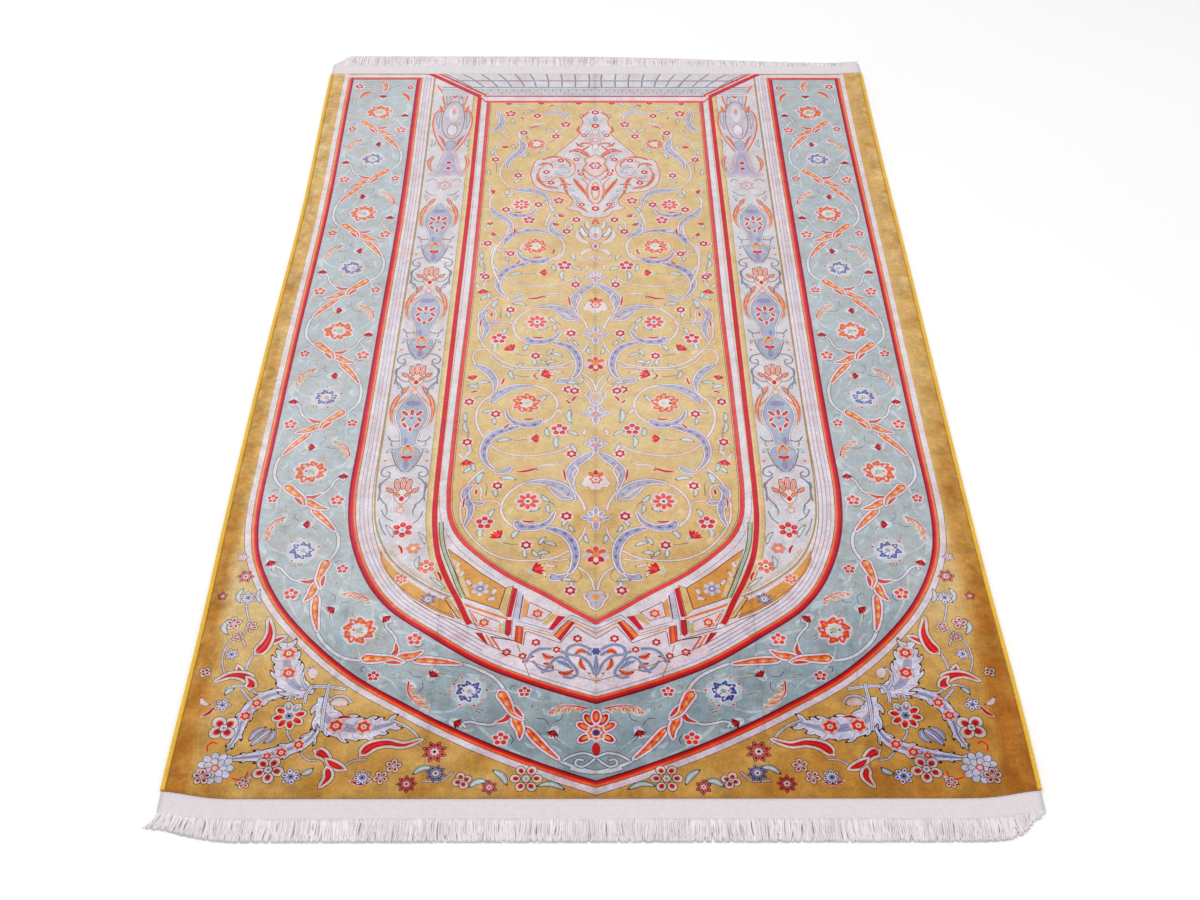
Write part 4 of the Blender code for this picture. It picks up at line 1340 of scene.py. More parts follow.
# ---------------------------------------------------------------- the nested frames under the point
FRAME_PIECES = (
    # dye, corners
    ("white", (185, 206, 203, 190, 225, 178, 262, 160, 300, 140, AXIS, 120,
               AXIS, 168, 300, 199, 262, 225, 225, 205)),
    # gold wedge beside the lamp band
    ("amber", (150, 261, 156, 250, 167, 236, 181, 222, 197, 209, 216, 199.5, 223, 180,
               206, 188.5, 195, 195.5, 185, 203, 170, 217, 158, 233, 151, 248)),
    ("panel", (151.5, 259, 157, 249, 168, 235, 182, 221, 198, 208, 215, 199, 221.5, 182.5,
               206, 190, 195.5, 197, 186, 204, 171, 218.5, 159, 234, 152.5, 248)),
    ("maroon", (215.4, 205.4, 230.4, 181, 225.6, 180.4, 211.6, 203.6)),
    ("gold", (216, 204.4, 229.2, 181, 226.2, 181.2, 213, 203.2)),
    # outer pieces along the white band
    ("maroon", (234.4, 190.6, 262.6, 177, 262.6, 165, 242.6, 169.4)),
    ("white", (235.2, 189.6, 262, 176.4, 262, 165.6, 243.2, 170.2)),
    ("orange", (236.2, 187.4, 238.6, 186.4, 247.6, 169.8, 245, 170.4)),
    ("maroon", (241.5, 165, 247.8, 164.4, 254.4, 150.6, 251.4, 152)),
    ("crimson", (242.3, 164.6, 247.3, 164, 253.5, 151.3, 252.1, 152.4)),
    ("orange", (250.4, 162.4, 252.4, 162, 260.4, 147.2, 258, 147.8)),
    ("coral", (254.8, 160.8, 256.8, 160.2, 265, 146, 262.8, 146.6)),
    ("gold", (262, 176, 265.4, 174.6, 265.4, 163, 262, 164)),
    ("sage", (265.8, 178, 268, 177, 268, 163.6, 265.8, 164.2)),
    ("maroon", (268, 179, 273.3, 178.6, 273, 163.6, 270.7, 160.4, 267.6, 163.2)),
    ("crimson", (268.7, 178, 272.7, 178, 272.4, 164, 270.6, 161.4, 268.3, 163.7)),
    ("umber", (255.8, 159.4, 256.2, 160.8, 277, 156.2, 277, 155.2)),
    # upright bars left of the second kink
    ("maroon", (276.8, 172.9, 283.9, 171, 283.2, 151.6, 276.4, 155)),
    ("coral", (277.5, 172.2, 283.2, 170.2, 282.7, 152.6, 277.1, 155.6)),
    ("orange", (279.7, 171.6, 281.5, 171, 281.1, 153.4, 279.3, 154.6)),
    ("maroon", (309.6, 161.8, 316.3, 155.4, 328.8, 176.3, 322.4, 178.8)),
    ("orange", (310.4, 161.4, 313.8, 158.6, 325.6, 177.2, 323, 178.2)),
    ("crimson", (313.8, 158.6, 316.1, 156.4, 328, 176.2, 325.6, 177.2)),
    ("apricot", (283, 170.4, 311.5, 161.3, 311, 160.1, 283, 168.9)),
    ("apricot", (328.6, 176.4, AXIS, 164.8, AXIS, 163, 328, 174.6)),
    # inner pieces under the field's point
    ("orange", (230.5, 198, 240, 193.4, 255, 187.3, 269.6, 181,
                269.4, 178.6, 255, 184.6, 240, 190.8, 231, 195)),
    ("umber", (211.3, 262.8, 229.7, 203.6, 261.4, 190, 266.6, 215.6, 243.4, 233.7, 225.3, 250.7)),
    ("panel", (212.2, 261, 230.3, 204.4, 260.8, 191.2, 265.8, 215.2, 243, 232.8, 224.9, 249.8)),
    ("gold_pale", (215, 252, 231, 206.5, 236, 204.3, 221, 247)),
    ("umber", (261, 190.8, 266.4, 215.8, 273.4, 218.6, 268.2, 182.4)),
    ("gold", (261.6, 190.6, 266.9, 215.2, 272.5, 217.6, 267.6, 183.4)),
    ("crimson", (268.4, 182.2, 272.6, 182, 277.2, 213.8, 273.2, 216.6)),
    ("lilac", (273.2, 181, 281.2, 178.2, 283, 206.6, 277.8, 212.6)),
    ("umber", (279.2, 180, 280, 179.4, 282.8, 206.6, 281.8, 207.6)),
    ("apricot", (281.4, 181.6, 285.6, 182, 287.6, 198, 283.4, 204.2)),
    ("umber", (285.6, 182.4, 288, 199.6, 308.4, 187.4, 299.8, 177.4)),
    ("white", (286.3, 183, 288.4, 198.6, 307.4, 187, 299.6, 178.2)),
    ("gold", (299.7, 173.8, 303.7, 172.8, 314, 183.4, 307.9, 187)),
    ("crimson", (305.4, 168.4, 309.5, 167.6, 320.4, 182.6, 313.4, 183.6)),
)
FRAME_LINES = (
    # dye, width, corners
    ("umber", 0.7, (185, 200.5, 195, 192.5, 206, 185.5, 220, 179,
                    238, 169.5, 255, 163.5, 270, 158, 277, 155.4)),
    ("umber", 0.6, (187, 206, 196.5, 198, 207.5, 190.8, 221.5, 184, 239, 174.6, 256, 168.4)),
    ("slate", 0.6, (273.6, 161, 273.9, 178, 277.6, 211)),
    ("umber", 0.7, (284, 150, 285.5, 165.3, 288, 165.8, 315.6, 153.2, 329, 171.4, AXIS, 157.8)),
    ("slate", 0.6, (279, 177.4, 305, 168.4, 309.3, 166.8, 325, 184.6, AXIS, 173.2)),
    ("slate", 0.6, (284, 172.5, 309, 163.9, 325.6, 180.4, AXIS, 168.4)),
)
FRAME_RINGS = (
    # kind, radius, x, y
    ("orange", 4.6, 295.5, 186), ("orange", 4.4, 249, 176), ("ring", 3.6, 295, 154), ("ring", 3.8, 270, 143),
    ("ring", 3.8, 331, 158), ("ring", 3.4, 284, 139), ("ring", 3.2, 313, 146),
)
FRAME_ZONES = ((0.8, "olive"), (-0.9, "white"))  # offset, dye
FRAME_STRIPES = ((-1.6, 0.8, "hair"), (1.7, 1.6, "white"), (3.1, 0.8, "hair"), (5.0, 1.4, "gold"))
FRAME_FLOWERS = (
    # bloom: x, y, radius, petals, colours. scallop: x, y, radius, lobes, depth, dye
    ("bloom", 198, 202.5, 6.4, 6, "blue"),
    ("bloom", 172, 226, 5.6, 6, "orange"),
    ("bloom", 243.5, 214.5, 8.6, 6, "panel"),
    ("scallop", 243.5, 214.5, 3.4, 6, 0.12, "violet"),
    ("scallop", 243.5, 214.5, 1.8, 6, 0.12, "ivory"),
)
PANEL_LEAVES = (  # x, y, turn
    (226, 232, 1.0), (233, 222, 2.2), (254, 203, 0.2), (256, 211, 1.2), (222, 243, 1.2),
)
SCROLL_HEARTS = (
    # scallop as above. oval: x, y, half length, half width, turn, dye
    ("scallop", AXIS, 144, 5.0, 6, 0.16, "mist"),
    ("scallop", AXIS, 144, 3.8, 6, 0.16, "blue"),
    ("oval", AXIS, 113, 3.6, 2.0, UP, "gold_pale"),
)
SCROLLS = (
    # look, shape, width, places from head to tip
    ("scroll", "leaf", 4.6, (301, 142, 305, 138, 311, 138)),
    ("scroll", "leaf", 3.8, (302, 131, 307, 130, 311, 126)),
    ("scroll", "leaf", 4.6, (329, 141, 334, 145, 339, 142)),
    ("scroll", "leaf", 4.6, (315, 122, 321, 120, 328, 124)),
    ("scroll", "leaf", 3.8, (334, 137, 334, 130, 338, 124)),
    ("scroll", "leaf", 3.8, (284, 132, 288, 137, 294, 139)),
    ("blue_scroll", "stem", 2.6, (287, 132, 291, 141, 297, 146, 306, 147, 315, 145, 323, 141, 333, 139,
                                  340, 133, 344, 125, AXIS, 117)),
    ("blue_scroll", "stem", 2.6, (AXIS, 141, 340, 148, 331, 151.5, 324, 149, 321.5, 142, 324, 134, 329, 127,
                                  331, 120, 326, 116, 319, 117)),
    ("blue_scroll", "stem", 2.4, (301, 121, 307, 128, 311, 135, 317, 138, 322, 134)),
    ("blue_scroll", "stem", 2.0, (293, 134, 298, 127, 305, 123, 311, 124)),
    ("blue_scroll", "leaf", 4.4, (313, 134, 320, 131, 327, 125)),
    ("blue_scroll", "leaf", 3.6, (337, 145, 342, 141, AXIS, 140)),
    ("blue_scroll", "leaf", 4.0, (AXIS, 140, 346.8, 129, AXIS, 118)),
    ("cream_leaf", "leaf", 3.6, (340, 121, 343, 119, 346, 114)),
)
POINT_LINES = (
    # line, inner and outer offset, dye of the lines that run down to the band's foot
    (GREEN_LINE, -2.4, 2.4, "umber"),
    (GREEN_LINE, -1.5, 1.5, "sage"),
    (SECOND_LINE, -3.4, 3.4, "cream"),
    (SECOND_LINE, -2.5, 2.5, "maroon"),
    (SECOND_LINE, -2.1, 2.1, "crimson"),
)


def polyline(drawing, points, width, dye):
    """Straight thin pieces from corner to corner."""
    for start, end in zip(points, points[1:]):
        side = 1j * (end - start) / abs(end - start) * width / 2
        drawing.area([start + side, start - side, end - side, end + side], dye)


def draw_frames(drawing):
    """The nested frames between the lamp band and the border."""
    drawing.zones(LAMP_EDGE, FRAME_ZONES)
    lower = [p for p in LAMP_EDGE if p.imag < 262]
    for offset, width, dye in FRAME_STRIPES:
        drawing.band(lower, offset - width / 2, offset + width / 2, dye)
    for dye, numbers in FRAME_PIECES:
        drawing.area(places(*numbers), dye)
    drawing.paint(FRAME_FLOWERS)
    for x, y, turn in PANEL_LEAVES:
        drawing.blade("cream_leaf", "leaf", 3.6, [complex(x, y) + cmath.rect(r, turn) for r in (-5, 0.6, 5)])
    drawing.blades(SCROLLS)
    drawing.paint(SCROLL_HEARTS)
    for kind, radius, x, y in FRAME_RINGS:
        drawing.rosette(complex(x, y), radius, kind)
    for dye, width, numbers in FRAME_LINES:
        polyline(drawing, places(*numbers), width, dye)
    for line, inner, outer, dye in POINT_LINES:
        drawing.band(line, inner, outer, dye)


# ---------------------------------------------------------------- the border
ROSETTES = places(
    74, 1003, 74, 898, 74, 785, 74, 682, 74, 573, 74, 468, 73.2, 362, 79, 260, 140, 167, 240, 102, AXIS, 52
)
UNIT = 105.0
UNIT_HAZE = (
    # look, shape, width, places as across, along from the unit's rosette
    ("haze_stem", "crescent", 3.0, (18, 12, 27, 24, 34, 38, 38, 55, 39, 73)),
    ("haze_stem", "crescent", 2.6, (-36, 84, -30, 96, -20, 104, -8, 107)),
    ("haze_stem", "crescent", 2.4, (-12, 10, -22, 20, -27, 36, -26, 52, -34, 66)),
    ("haze_stem", "crescent", 2.4, (20, 58, 12, 66, 10, 78, 16, 92)),
    ("haze_stem", "crescent", 2.2, (30, 60, 22, 68, 20, 80, 26, 90)),
    ("haze_stem", "leaf", 6.0, (33, -22, 37, -12, 34, 0)),
    ("haze_stem", "leaf", 5.0, (-20, 56, -16, 62, -18, 72)),
)
UNIT_SPRIGS = (
    # look, shape, width, places as across, along from the unit's rosette
    ("sprig", "leaf", 1.8, (6.5, 12, 7.5, 16, 6, 20)),
    ("sprig", "leaf", 1.8, (10, 11, 11, 15, 10, 19)),
    ("sprig", "leaf", 1.8, (-20, 46, -17, 50, -14, 51)),
    ("sprig", "leaf", 1.6, (-19, 52, -16, 55, -13, 55)),
    ("sprig", "leaf", 1.8, (8, 74, 11, 78, 13, 83)),
    ("sprig", "leaf", 1.6, (-13, 82, -10, 88, -9, 95)),
    ("twig", "stem", 0.5, (-34, 29, -30, 26, -27, 28)),
    ("twig", "stem", 0.6, (22, 45, 26, 49, 31, 49)),
    ("twig", "stem", 0.5, (-20, 74, -14, 74, -9, 71)),
    ("twig", "stem", 0.5, (-3, 68, -8, 62, -6, 57)),
    ("haze_stem", "leaf", 3.4, (36, 12, 34, 18, 29, 19)),
    ("haze_stem", "leaf", 3.4, (-38, 44, -34, 50, -28, 50)),
    ("haze_stem", "leaf", 3.2, (24, 56, 27, 62, 25, 68)),
    ("haze_stem", "leaf", 3.2, (-30, 0, -25, -6, -24, -13)),
)
UNIT_BLADES = (
    # look, shape, width, places as across, along from the unit's rosette
    ("mist_stem", "stem", 1.4, (29.5, 80, 33.5, 90, 34.8, 103, 33.5, 114, 28.5, 123, 22, 129.5)),
    ("mist_stem", "stem", 1.1, (13, 32.5, 18.5, 29, 22.5, 21.5, 25.5, 13, 30, 10, 32.5, 14)),
    ("spark", "crescent", 3.6, (-1.5, 36.5, 6.5, 36.5, 15, 31)),
    ("flame", "crescent", 5.6, (8, 53, 15, 61, 23, 71.5, 30.5, 84)),
    ("flame", "crescent", 7.0, (-1, 41, 5.5, 44.5, 12.5, 49.5, 22, 52.5)),
    ("flame", "club", 8.4, (-21, 20.5, -14.5, 27.5, -8.5, 33, -3, 38.5, 0, 47)),
    ("spark", "leaf", 3.0, (-11, 36.5, -6, 41.5, -2, 47)),
)


def feather_leaf(drawing, points, width, barbs):
    """A curved half leaf combed into slanting barbs."""
    line = smooth_line(points, 1.0)
    last = len(line) - 1
    for n in range(barbs):
        share = (n + 0.5) / barbs
        i = int(share * last * 0.92)
        here = line[i]
        ahead = (line[min(i + 2, last)] - line[max(i - 2, 0)]) or 1.0
        ahead /= abs(ahead)
        reach = width * math.sin(math.pi * (0.15 + 0.75 * share)) ** 0.7
        tip = here + ahead * reach * 0.8 + 1j * ahead * reach
        dye = "feather" if n % 3 else "spark"
        drawing.blade(dye, "crescent", 2.0, [here, here + ahead * reach * 0.7 + 0.35j * ahead * reach, tip])
    drawing.blade("ember", "thorn", 1.6, points)


def draw_unit(drawing, start, length, turn):
    """One border unit: the leaves and stems that lead from one rosette to the next."""

    def at(point):
        return on_border(start + point.imag * length / UNIT, point.real * turn)

    drawing.place = at
    drawing.leaves(UNIT_HAZE + UNIT_SPRIGS + UNIT_BLADES)
    drawing.bloom(complex(-31, 38), 5.2, 5, "ring_teal")
    drawing.bloom(complex(30, 40.5), 6.4, 5, "red_teal")
    drawing.place = lambda point: point
    rim = [at(p) for p in places(-35, 90, -33, 78, -27, 68, -16, 62)]
    feather_leaf(drawing, rim[::-1] if turn > 0 else rim, 7.5, 11)
    for x, y, lean in ((2, 73, -90), (32, 5, 0)):
        out = complex(x, y) + cmath.rect(6, math.radians(lean + 90))
        drawing.bud(at(complex(x, y)), 6.4, cmath.phase(at(out) - at(complex(x, y))), "bud_teal")


ROSETTE_KINDS = {
    # petals, their distance and size, dyes of petal, tip, rim, heart and dot
    "orange": (9, 10.4, 4.7, "coral", "orange", "blush", "sage", "rose"),
    "blue": (8, 8.0, 3.5, "blue", "violet", "mist", "sky", "blush"),
}
BERRIES = 8


def draw_big_rosette(drawing, middle, kind, seed):
    """The border's round flower: a ragged ring of petals round a pale heart, berries round the blue one."""
    count, reach, size, petal, tip, rim, heart, dot = ROSETTE_KINDS[kind]
    chance = random.Random(seed)
    drawing.scallop(middle, 15.4, 8, 0.06, "haze", chance.random())
    drawing.ragged(middle, reach, count, size, ("mist", rim, petal, tip), seed)
    drawing.scallop(middle, reach * 0.74, 9, 0.10, "mist", 0.3)
    drawing.scallop(middle, reach * 0.52, 6, 0.10, "ivory", 0.2)
    drawing.scallop(middle + 0.8, reach * 0.30, 5, 0.16, heart, 0.2)
    drawing.oval(middle - 4.2 + 0.5j, 1.5, 1.3, 0, dot, 8)
    drawing.oval(middle - 4.2 + 0.5j, 0.8, 0.7, 0, "wine", 8)
    drawing.oval(middle + 3.4 - 2.6j, 0.9, 0.8, 0, "plum", 8)
    if kind == "orange":
        return
    for k in range(BERRIES):
        out = cmath.rect(14.6 + 2.4 * chance.random(), math.tau * (k + 0.6 * chance.random()) / BERRIES)
        drawing.oval(middle + out, 2.0, 1.7, 0, "blush", 8)
        drawing.oval(middle + out, 1.3, 1.0, 0, ("crimson", "rose", "coral")[k % 3], 8)


def spine_length_of(point):
    """The length along the spine at its point nearest to this one."""
    return float(SPINE_LENGTHS[int(np.argmin(np.abs(np.array(BORDER_SPINE) - point)))])


BEFORE_TIP = [p for p in INNER_GUARD if p.imag > 132]
INNER_STRIPES = (
    # line, offset, width, dye
    (INNER_GUARD, 22.6, 0.8, "taupe"),
    (BEFORE_TIP, 18.6, 1.0, "hair"),
    (BEFORE_TIP, 14.8, 1.0, "hair"),
    (INNER_GUARD, 11.0, 0.8, "hair"),
)
INNER_ZONES = (  # offset, dye
    (7.6, "umber"), (7.0, "orange"), (5.6, "red"), (4.4, "crimson"), (2.1, "maroon"), (0.0, "teal"),
)

BORDER_END = (
    # kind, x, y, size, turn of the bud, colours
    ("rosette", 42, 1065, 5.0, "ring_teal"),
    ("rosette", 108, 1062, 4.0, "ring_teal"),
    ("bud", 75, 1038, 6.6, UP, "bud_teal"),
)
BORDER_END_LEAVES = (
    # look, shape, width, places from head to tip
    ("flame", "club", 6.4, (71, 1076, 76, 1068, 77, 1060, 74, 1052)),
    ("feather", "crescent", 5.4, (60, 1053, 50, 1047, 45, 1034)),
    ("feather", "crescent", 5.4, (98, 1049, 106, 1041, 109, 1027)),
    ("mist_stem", "stem", 1.0, (47, 1060, 58, 1060, 68, 1057)),
    ("mist_stem", "stem", 1.0, (104, 1060, 93, 1062, 82, 1058)),
    ("mist_stem", "stem", 0.9, (42, 1075, 52, 1080, 64, 1078)),
    ("mist_stem", "stem", 0.9, (40, 1020, 38, 1035, 42, 1050)),
)
TIP_PETALS = (
    # x, y, turn, dye
    (337, 66, 2.6, "red"),
    (341, 73, 2.1, "crimson"),
    (AXIS, 76, UP, "red"),
    (338, 55, 3.7, "crimson"),
)
TIP_HEART = (
    # scallop: x, y, radius, lobes, depth, dye. oval: x, y, half length, half width, turn, dye, points
    ("scallop", AXIS, 60, 8.4, 8, 0.10, "mist"),
    ("scallop", AXIS, 60, 6.6, 8, 0.12, "orange"),
    ("scallop", AXIS, 60, 4.6, 6, 0.12, "ivory"),
    ("scallop", AXIS, 60, 3.0, 5, 0.16, "blue"),
    ("oval", AXIS, 60, 1.8, 1.8, 0, "wine", 8),
    ("oval", AXIS, 44, 6.4, 3.6, UP, "crimson"),
)
TIP_STEMS = (
    # look, shape, width, places from head to tip
    ("mist_stem", "stem", 1.0, (AXIS, 36, 341, 30, 335, 27, 330, 30, 332, 34, 337, 33)),
    ("mist_stem", "stem", 1.0, (AXIS, 36, 338, 40, 328, 38, 320, 33)),
)


def draw_border(drawing):
    """The guard inside the border, then the border's units and round flowers."""
    for line, offset, width, dye in INNER_STRIPES:
        drawing.band(line, offset - width / 2, offset + width / 2, dye)
    drawing.zones(INNER_GUARD, INNER_ZONES)
    lengths = [spine_length_of(point) for point in ROSETTES]
    for k, start in enumerate(lengths[:-1]):
        draw_unit(drawing, start, lengths[k + 1] - start, 1 if k % 2 == 0 else -1)
    for k, point in enumerate(ROSETTES[:-1]):
        draw_big_rosette(drawing, point, "blue" if k % 2 else "orange", k)
    drawing.paint(BORDER_END)
    drawing.leaves(BORDER_END_LEAVES)
    for x, y, turn, dye in TIP_PETALS:
        for long, wide, petal_dye, count in (
            (8.6, 5.4, "slate", 12),
            (8.0, 4.8, "white", 12),
            (6.4, 3.2, dye, 12),
            (3.6, 1.6, "apricot", 8),
        ):
            drawing.oval(complex(x, y), long, wide, turn, petal_dye, count)
    drawing.paint(TIP_HEART)
    drawing.blades(TIP_STEMS)


# ---------------------------------------------------------------- the corners outside the border
ACANTHUS = (
    # width of the body, length of the teeth, pairs of teeth, places from foot to tip
    (11.0, 4.8, 9, (110, 104, 98, 104, 84, 101, 70, 96, 60, 86, 55, 72, 53, 56, 47, 42)),
    (11.0, 4.8, 8, (119, 76, 117, 62, 110, 51, 97, 44, 80, 38.5, 62, 36, 46, 34)),
    (22.0, 8.6, 8, (119, 96, 121, 80, 129, 70, 143, 65, 160, 64, 184, 71)),
    (22.0, 8.6, 8, (110, 104, 98, 105, 89, 113, 84, 127, 81, 140, 80, 154)),
)
SPANDREL_BLADES = (
    # look, shape, width, places from head to tip
    ("rib", "stem", 2.2, (98, 104, 112, 107, 126, 106, 137, 104)),
    ("rib", "stem", 2.0, (122, 62, 121, 78, 121, 92, 122, 110)),
    ("rib", "stem", 2.0, (104, 90, 104, 98, 108, 108)),
    ("rib", "stem", 1.6, (62, 100, 54, 106, 44, 108, 36, 104)),
    ("rib", "stem", 1.4, (79, 156, 72, 162, 66, 158, 64, 150)),
    ("rib", "stem", 1.2, (93, 66, 95, 58, 99, 52)),
    ("rib", "stem", 1.2, (90, 92, 92, 98, 96, 98, 95, 93)),
    ("rib", "stem", 1.4, (178, 73, 190, 67, 200, 58, 205, 48)),
    ("rib", "stem", 1.0, (32, 120, 27, 134, 28, 150, 34, 162)),
    ("rib", "stem", 1.0, (44, 150, 40, 160, 44, 172, 40, 186, 37, 198)),
    ("rib", "stem", 1.0, (143, 27, 152, 33, 162, 34)),
    ("rib", "stem", 1.0, (232, 22, 224, 14, 208, 14)),
    ("rib", "stem", 1.0, (108, 40, 114, 34, 121, 33)),
    ("rib", "stem", 1.6, (53, 142, 50, 132, 49, 124)),
    ("rib", "stem", 1.6, (49, 104, 54, 98, 58, 93)),
    ("rib", "stem", 1.4, (104, 104, 99, 112, 99, 122, 105, 128)),
    ("rib", "stem", 1.4, (123, 92, 130, 97, 138, 96, 143, 90)),
    ("cream_leaf", "leaf", 7.5, (107, 114, 107, 120, 103, 127)),
    ("cream_leaf", "leaf", 7.5, (125, 88, 132, 91, 141, 88)),
    ("ruby", "leaf", 3.6, (61, 150, 68, 155, 77, 160)),
    ("ruby", "club", 8.0, (55, 142, 60, 149, 63.5, 162, 60, 180)),
    ("ruby", "leaf", 4.6, (42, 128, 45, 121, 52, 114)),
    ("ruby", "club", 6.6, (57, 113, 48, 118, 38, 119, 26, 113)),
    ("ruby", "club", 7.0, (56, 105, 56, 111, 52, 116)),
    ("ruby", "club", 6.6, (120, 42, 126, 39, 131, 33, 132, 26)),
    ("ruby", "leaf", 5.0, (130, 34, 136, 29, 145, 25)),
    ("ruby", "crescent", 4.6, (131, 26, 133, 18, 128, 9)),
    ("ruby", "club", 6.6, (157, 39, 163, 46, 176, 50, 190, 48, 204, 53)),
    ("blue_leaf", "leaf", 7.0, (66, 47, 73, 56, 81, 64)),
    ("blue_leaf", "leaf", 5.0, (64, 52, 68, 60, 76, 66)),
    ("blue_leaf", "leaf", 5.0, (76, 50, 82, 55, 83, 64)),
    ("greenery", "leaf", 4.0, (32, 215, 29, 206, 32, 198)),
    ("greenery", "leaf", 4.0, (25, 180, 22, 170, 27, 162)),
    ("greenery", "leaf", 4.0, (36, 98, 39, 103, 43, 105)),
    ("greenery", "leaf", 4.4, (110, 20, 116, 22, 120, 26)),
    ("greenery", "leaf", 4.4, (246, 8, 252, 13, 260, 14)),
    ("greenery", "leaf", 4.0, (300, 9, 310, 11, 322, 6)),
    ("greenery", "leaf", 4.0, (200, 20, 208, 26, 216, 26)),
    ("greenery", "leaf", 4.6, (264, 24, 272, 18, 276, 10)),
    ("greenery", "leaf", 3.6, (50, 198, 46, 206, 47, 214)),
    ("cream_leaf", "leaf", 4.0, (16, 96, 20, 90, 26, 88)),
    ("cream_leaf", "leaf", 3.6, (60, 10, 68, 14, 72, 20)),
    ("outline", "stem", 1.2, (32, 42, 31.5, 48, 35, 51, 39, 49)),
    ("outline", "stem", 1.2, (56, 17, 62, 15, 67, 18, 68, 23)),
    ("ember", "leaf", 2.8, (20, 76, 26, 80, 30, 87)),
    ("ember", "leaf", 2.8, (150, 14, 160, 11, 168, 13)),
    ("ember", "leaf", 2.8, (130, 72, 138, 76, 146, 75)),
)
SPANDREL_BLOSSOMS = (
    # radius, petals, x, y, turn in degrees
    (13.0, 4, 41, 65, 40), (13.0, 5, 84, 24.5, 60), (8.0, 4, 240, 14, 20), (7.6, 5, 32, 18, 90),
    (7.0, 5, 30, 175, 20), (5.6, 5, 46, 171, 60), (5.2, 5, 36, 160, 0), (6.6, 5, 184, 28, 10),
    (6.2, 5, 175, 17, 50), (13.0, 6, 291, 16, 0), (5.4, 5, 66, 12, 30), (5.2, 4, 15, 122, 60),
)
SPANDREL_BLOOMS = (
    # kind, petals, radius, x, y
    ("lily", 6, 7.0, 38, 204), ("lily", 5, 6.2, 36, 88), ("lily", 6, 7.2, 103, 18),
    ("lily", 7, 6.6, 160, 17), ("blue", 8, 7.2, 218.5, 21), ("lily", 6, 5.6, 34, 141),
    ("ruby", 6, 6.6, 32, 229), ("ruby", 8, 9.2, 216, 41.5), ("ruby", 6, 5.6, 262, 8),
    ("ruby", 5, 4.0, 15, 206), ("ruby", 8, 7.0, 196, 11), ("pink", 5, 4.6, 26, 252),
)
SPANDREL_ROSETTES = (
    # radius, x, y of the flowers on the acanthus leaves
    (5.6, 83, 142), (5.6, 86, 121), (6.0, 133, 67), (6.0, 156, 66), (4.4, 57, 77), (4.4, 64, 90),
    (3.4, 81, 37.5), (4.4, 92, 41), (4.4, 105, 48.5),
)
OUTER_ZONES = (  # offset, dye
    (12.9, "maroon"), (11.1, "crimson"), (9.6, "red"), (8.6, "orange"), (6.5, "umber"), (6.0, "white"),
    (0.5, "umber"), (0.0, "gold"),
)
TOOTH = ((0.0, 0.0), (0.25, 0.45), (0.75, 0.85), (1.35, 0.95))  # ahead, outward
PALMETTE = complex(93, 77)
PALMETTE_HEART = (
    # scallop: x, y, radius, lobes, depth, dye. oval: x, y, half length, half width, turn, dye, points
    ("scallop", 93, 77, 5.4, 8, 0.10, "ivory"),
    ("scallop", 93, 77, 3.4, 6, 0.14, "vase"),
    ("oval", 93, 77, 1.3, 1.3, 0, "navy", 8),
)
ASTER = complex(41, 26)
ASTER_HEART = (
    # as above
    ("scallop", 41, 26, 3.6, 5, 0.12, "rose"),
    ("scallop", 41, 26, 2.2, 5, 0.12, "ivory"),
)


def acanthus_teeth(width, length, pairs, points):
    """The lines of the forward teeth on both sides of a leaf."""
    line = smooth_line(points, 1.0)
    teeth = []
    for n in range(pairs):
        share = 0.10 + 0.84 * n / (pairs - 1)
        i = max(2, min(len(line) - 3, int(share * (len(line) - 1))))
        ahead = (line[i + 2] - line[i - 2]) / abs(line[i + 2] - line[i - 2])
        reach = length * (1.0 if n % 2 else 0.72) * (1.15 - 0.5 * share)
        for side in (1j, -1j):
            out = side * ahead
            start = line[i] + 0.27 * width * SHAPES["leaf"](share) * out
            teeth.append([start + (forward * ahead + outward * out) * reach for forward, outward in TOOTH])
    return teeth


def acanthus(drawing, width, length, pairs, points):
    """A toothed leaf along a rib: dark outline, pale body, then shade and veins."""
    teeth = acanthus_teeth(width, length, pairs, points)
    for look in ("lobe_edge", "lobe"):
        for tooth in teeth:
            drawing.blade(look, "thorn", 0.78 * length, tooth)
        drawing.blade(look, "leaf", width, points)
        drawing.blade(look, "thorn", 0.45 * width, points)
    drawing.blade("shade", "leaf", width, points)
    for tooth in teeth:
        drawing.blade("vein", "stem", 1.6, tooth[:3])
    drawing.blade("vein", "stem", 3.0, points)


def draw_corner_palmette(drawing):
    """The round palmette where the toothed leaves meet."""
    petals = [(math.tau * k / 8 + 0.2, k in (1, 2)) for k in range(8)]
    for angle, _ in petals:
        drawing.oval(PALMETTE + cmath.rect(8.6, angle), 6.6, 4.6, angle, "umber", 12)
    for angle, pale in petals:
        out = cmath.rect(8.6, angle)
        drawing.oval(PALMETTE + out, 6.0, 4.0, angle, "ivory", 12)
        drawing.oval(PALMETTE + out, 4.2, 2.6, angle, "lavender" if pale else "coral", 10)
        drawing.oval(PALMETTE + out * 1.2, 2.2, 1.4, angle, "ivory" if pale else "crimson", 8)
    drawing.paint(PALMETTE_HEART)


def draw_aster(drawing):
    """The pale many-petalled flower near the corner."""
    for ring, count, size in ((11.0, 11, 4.2), (5.6, 7, 4.0)):
        for k in range(count):
            angle = math.tau * k / count
            petal = ASTER + cmath.rect(ring, angle)
            drawing.oval(petal, size + 0.5, size * 0.72 + 0.5, angle, "plum", 12)
            drawing.oval(petal, size, size * 0.72, angle, "mist" if k % 2 else "frost", 12)
    drawing.paint(ASTER_HEART)


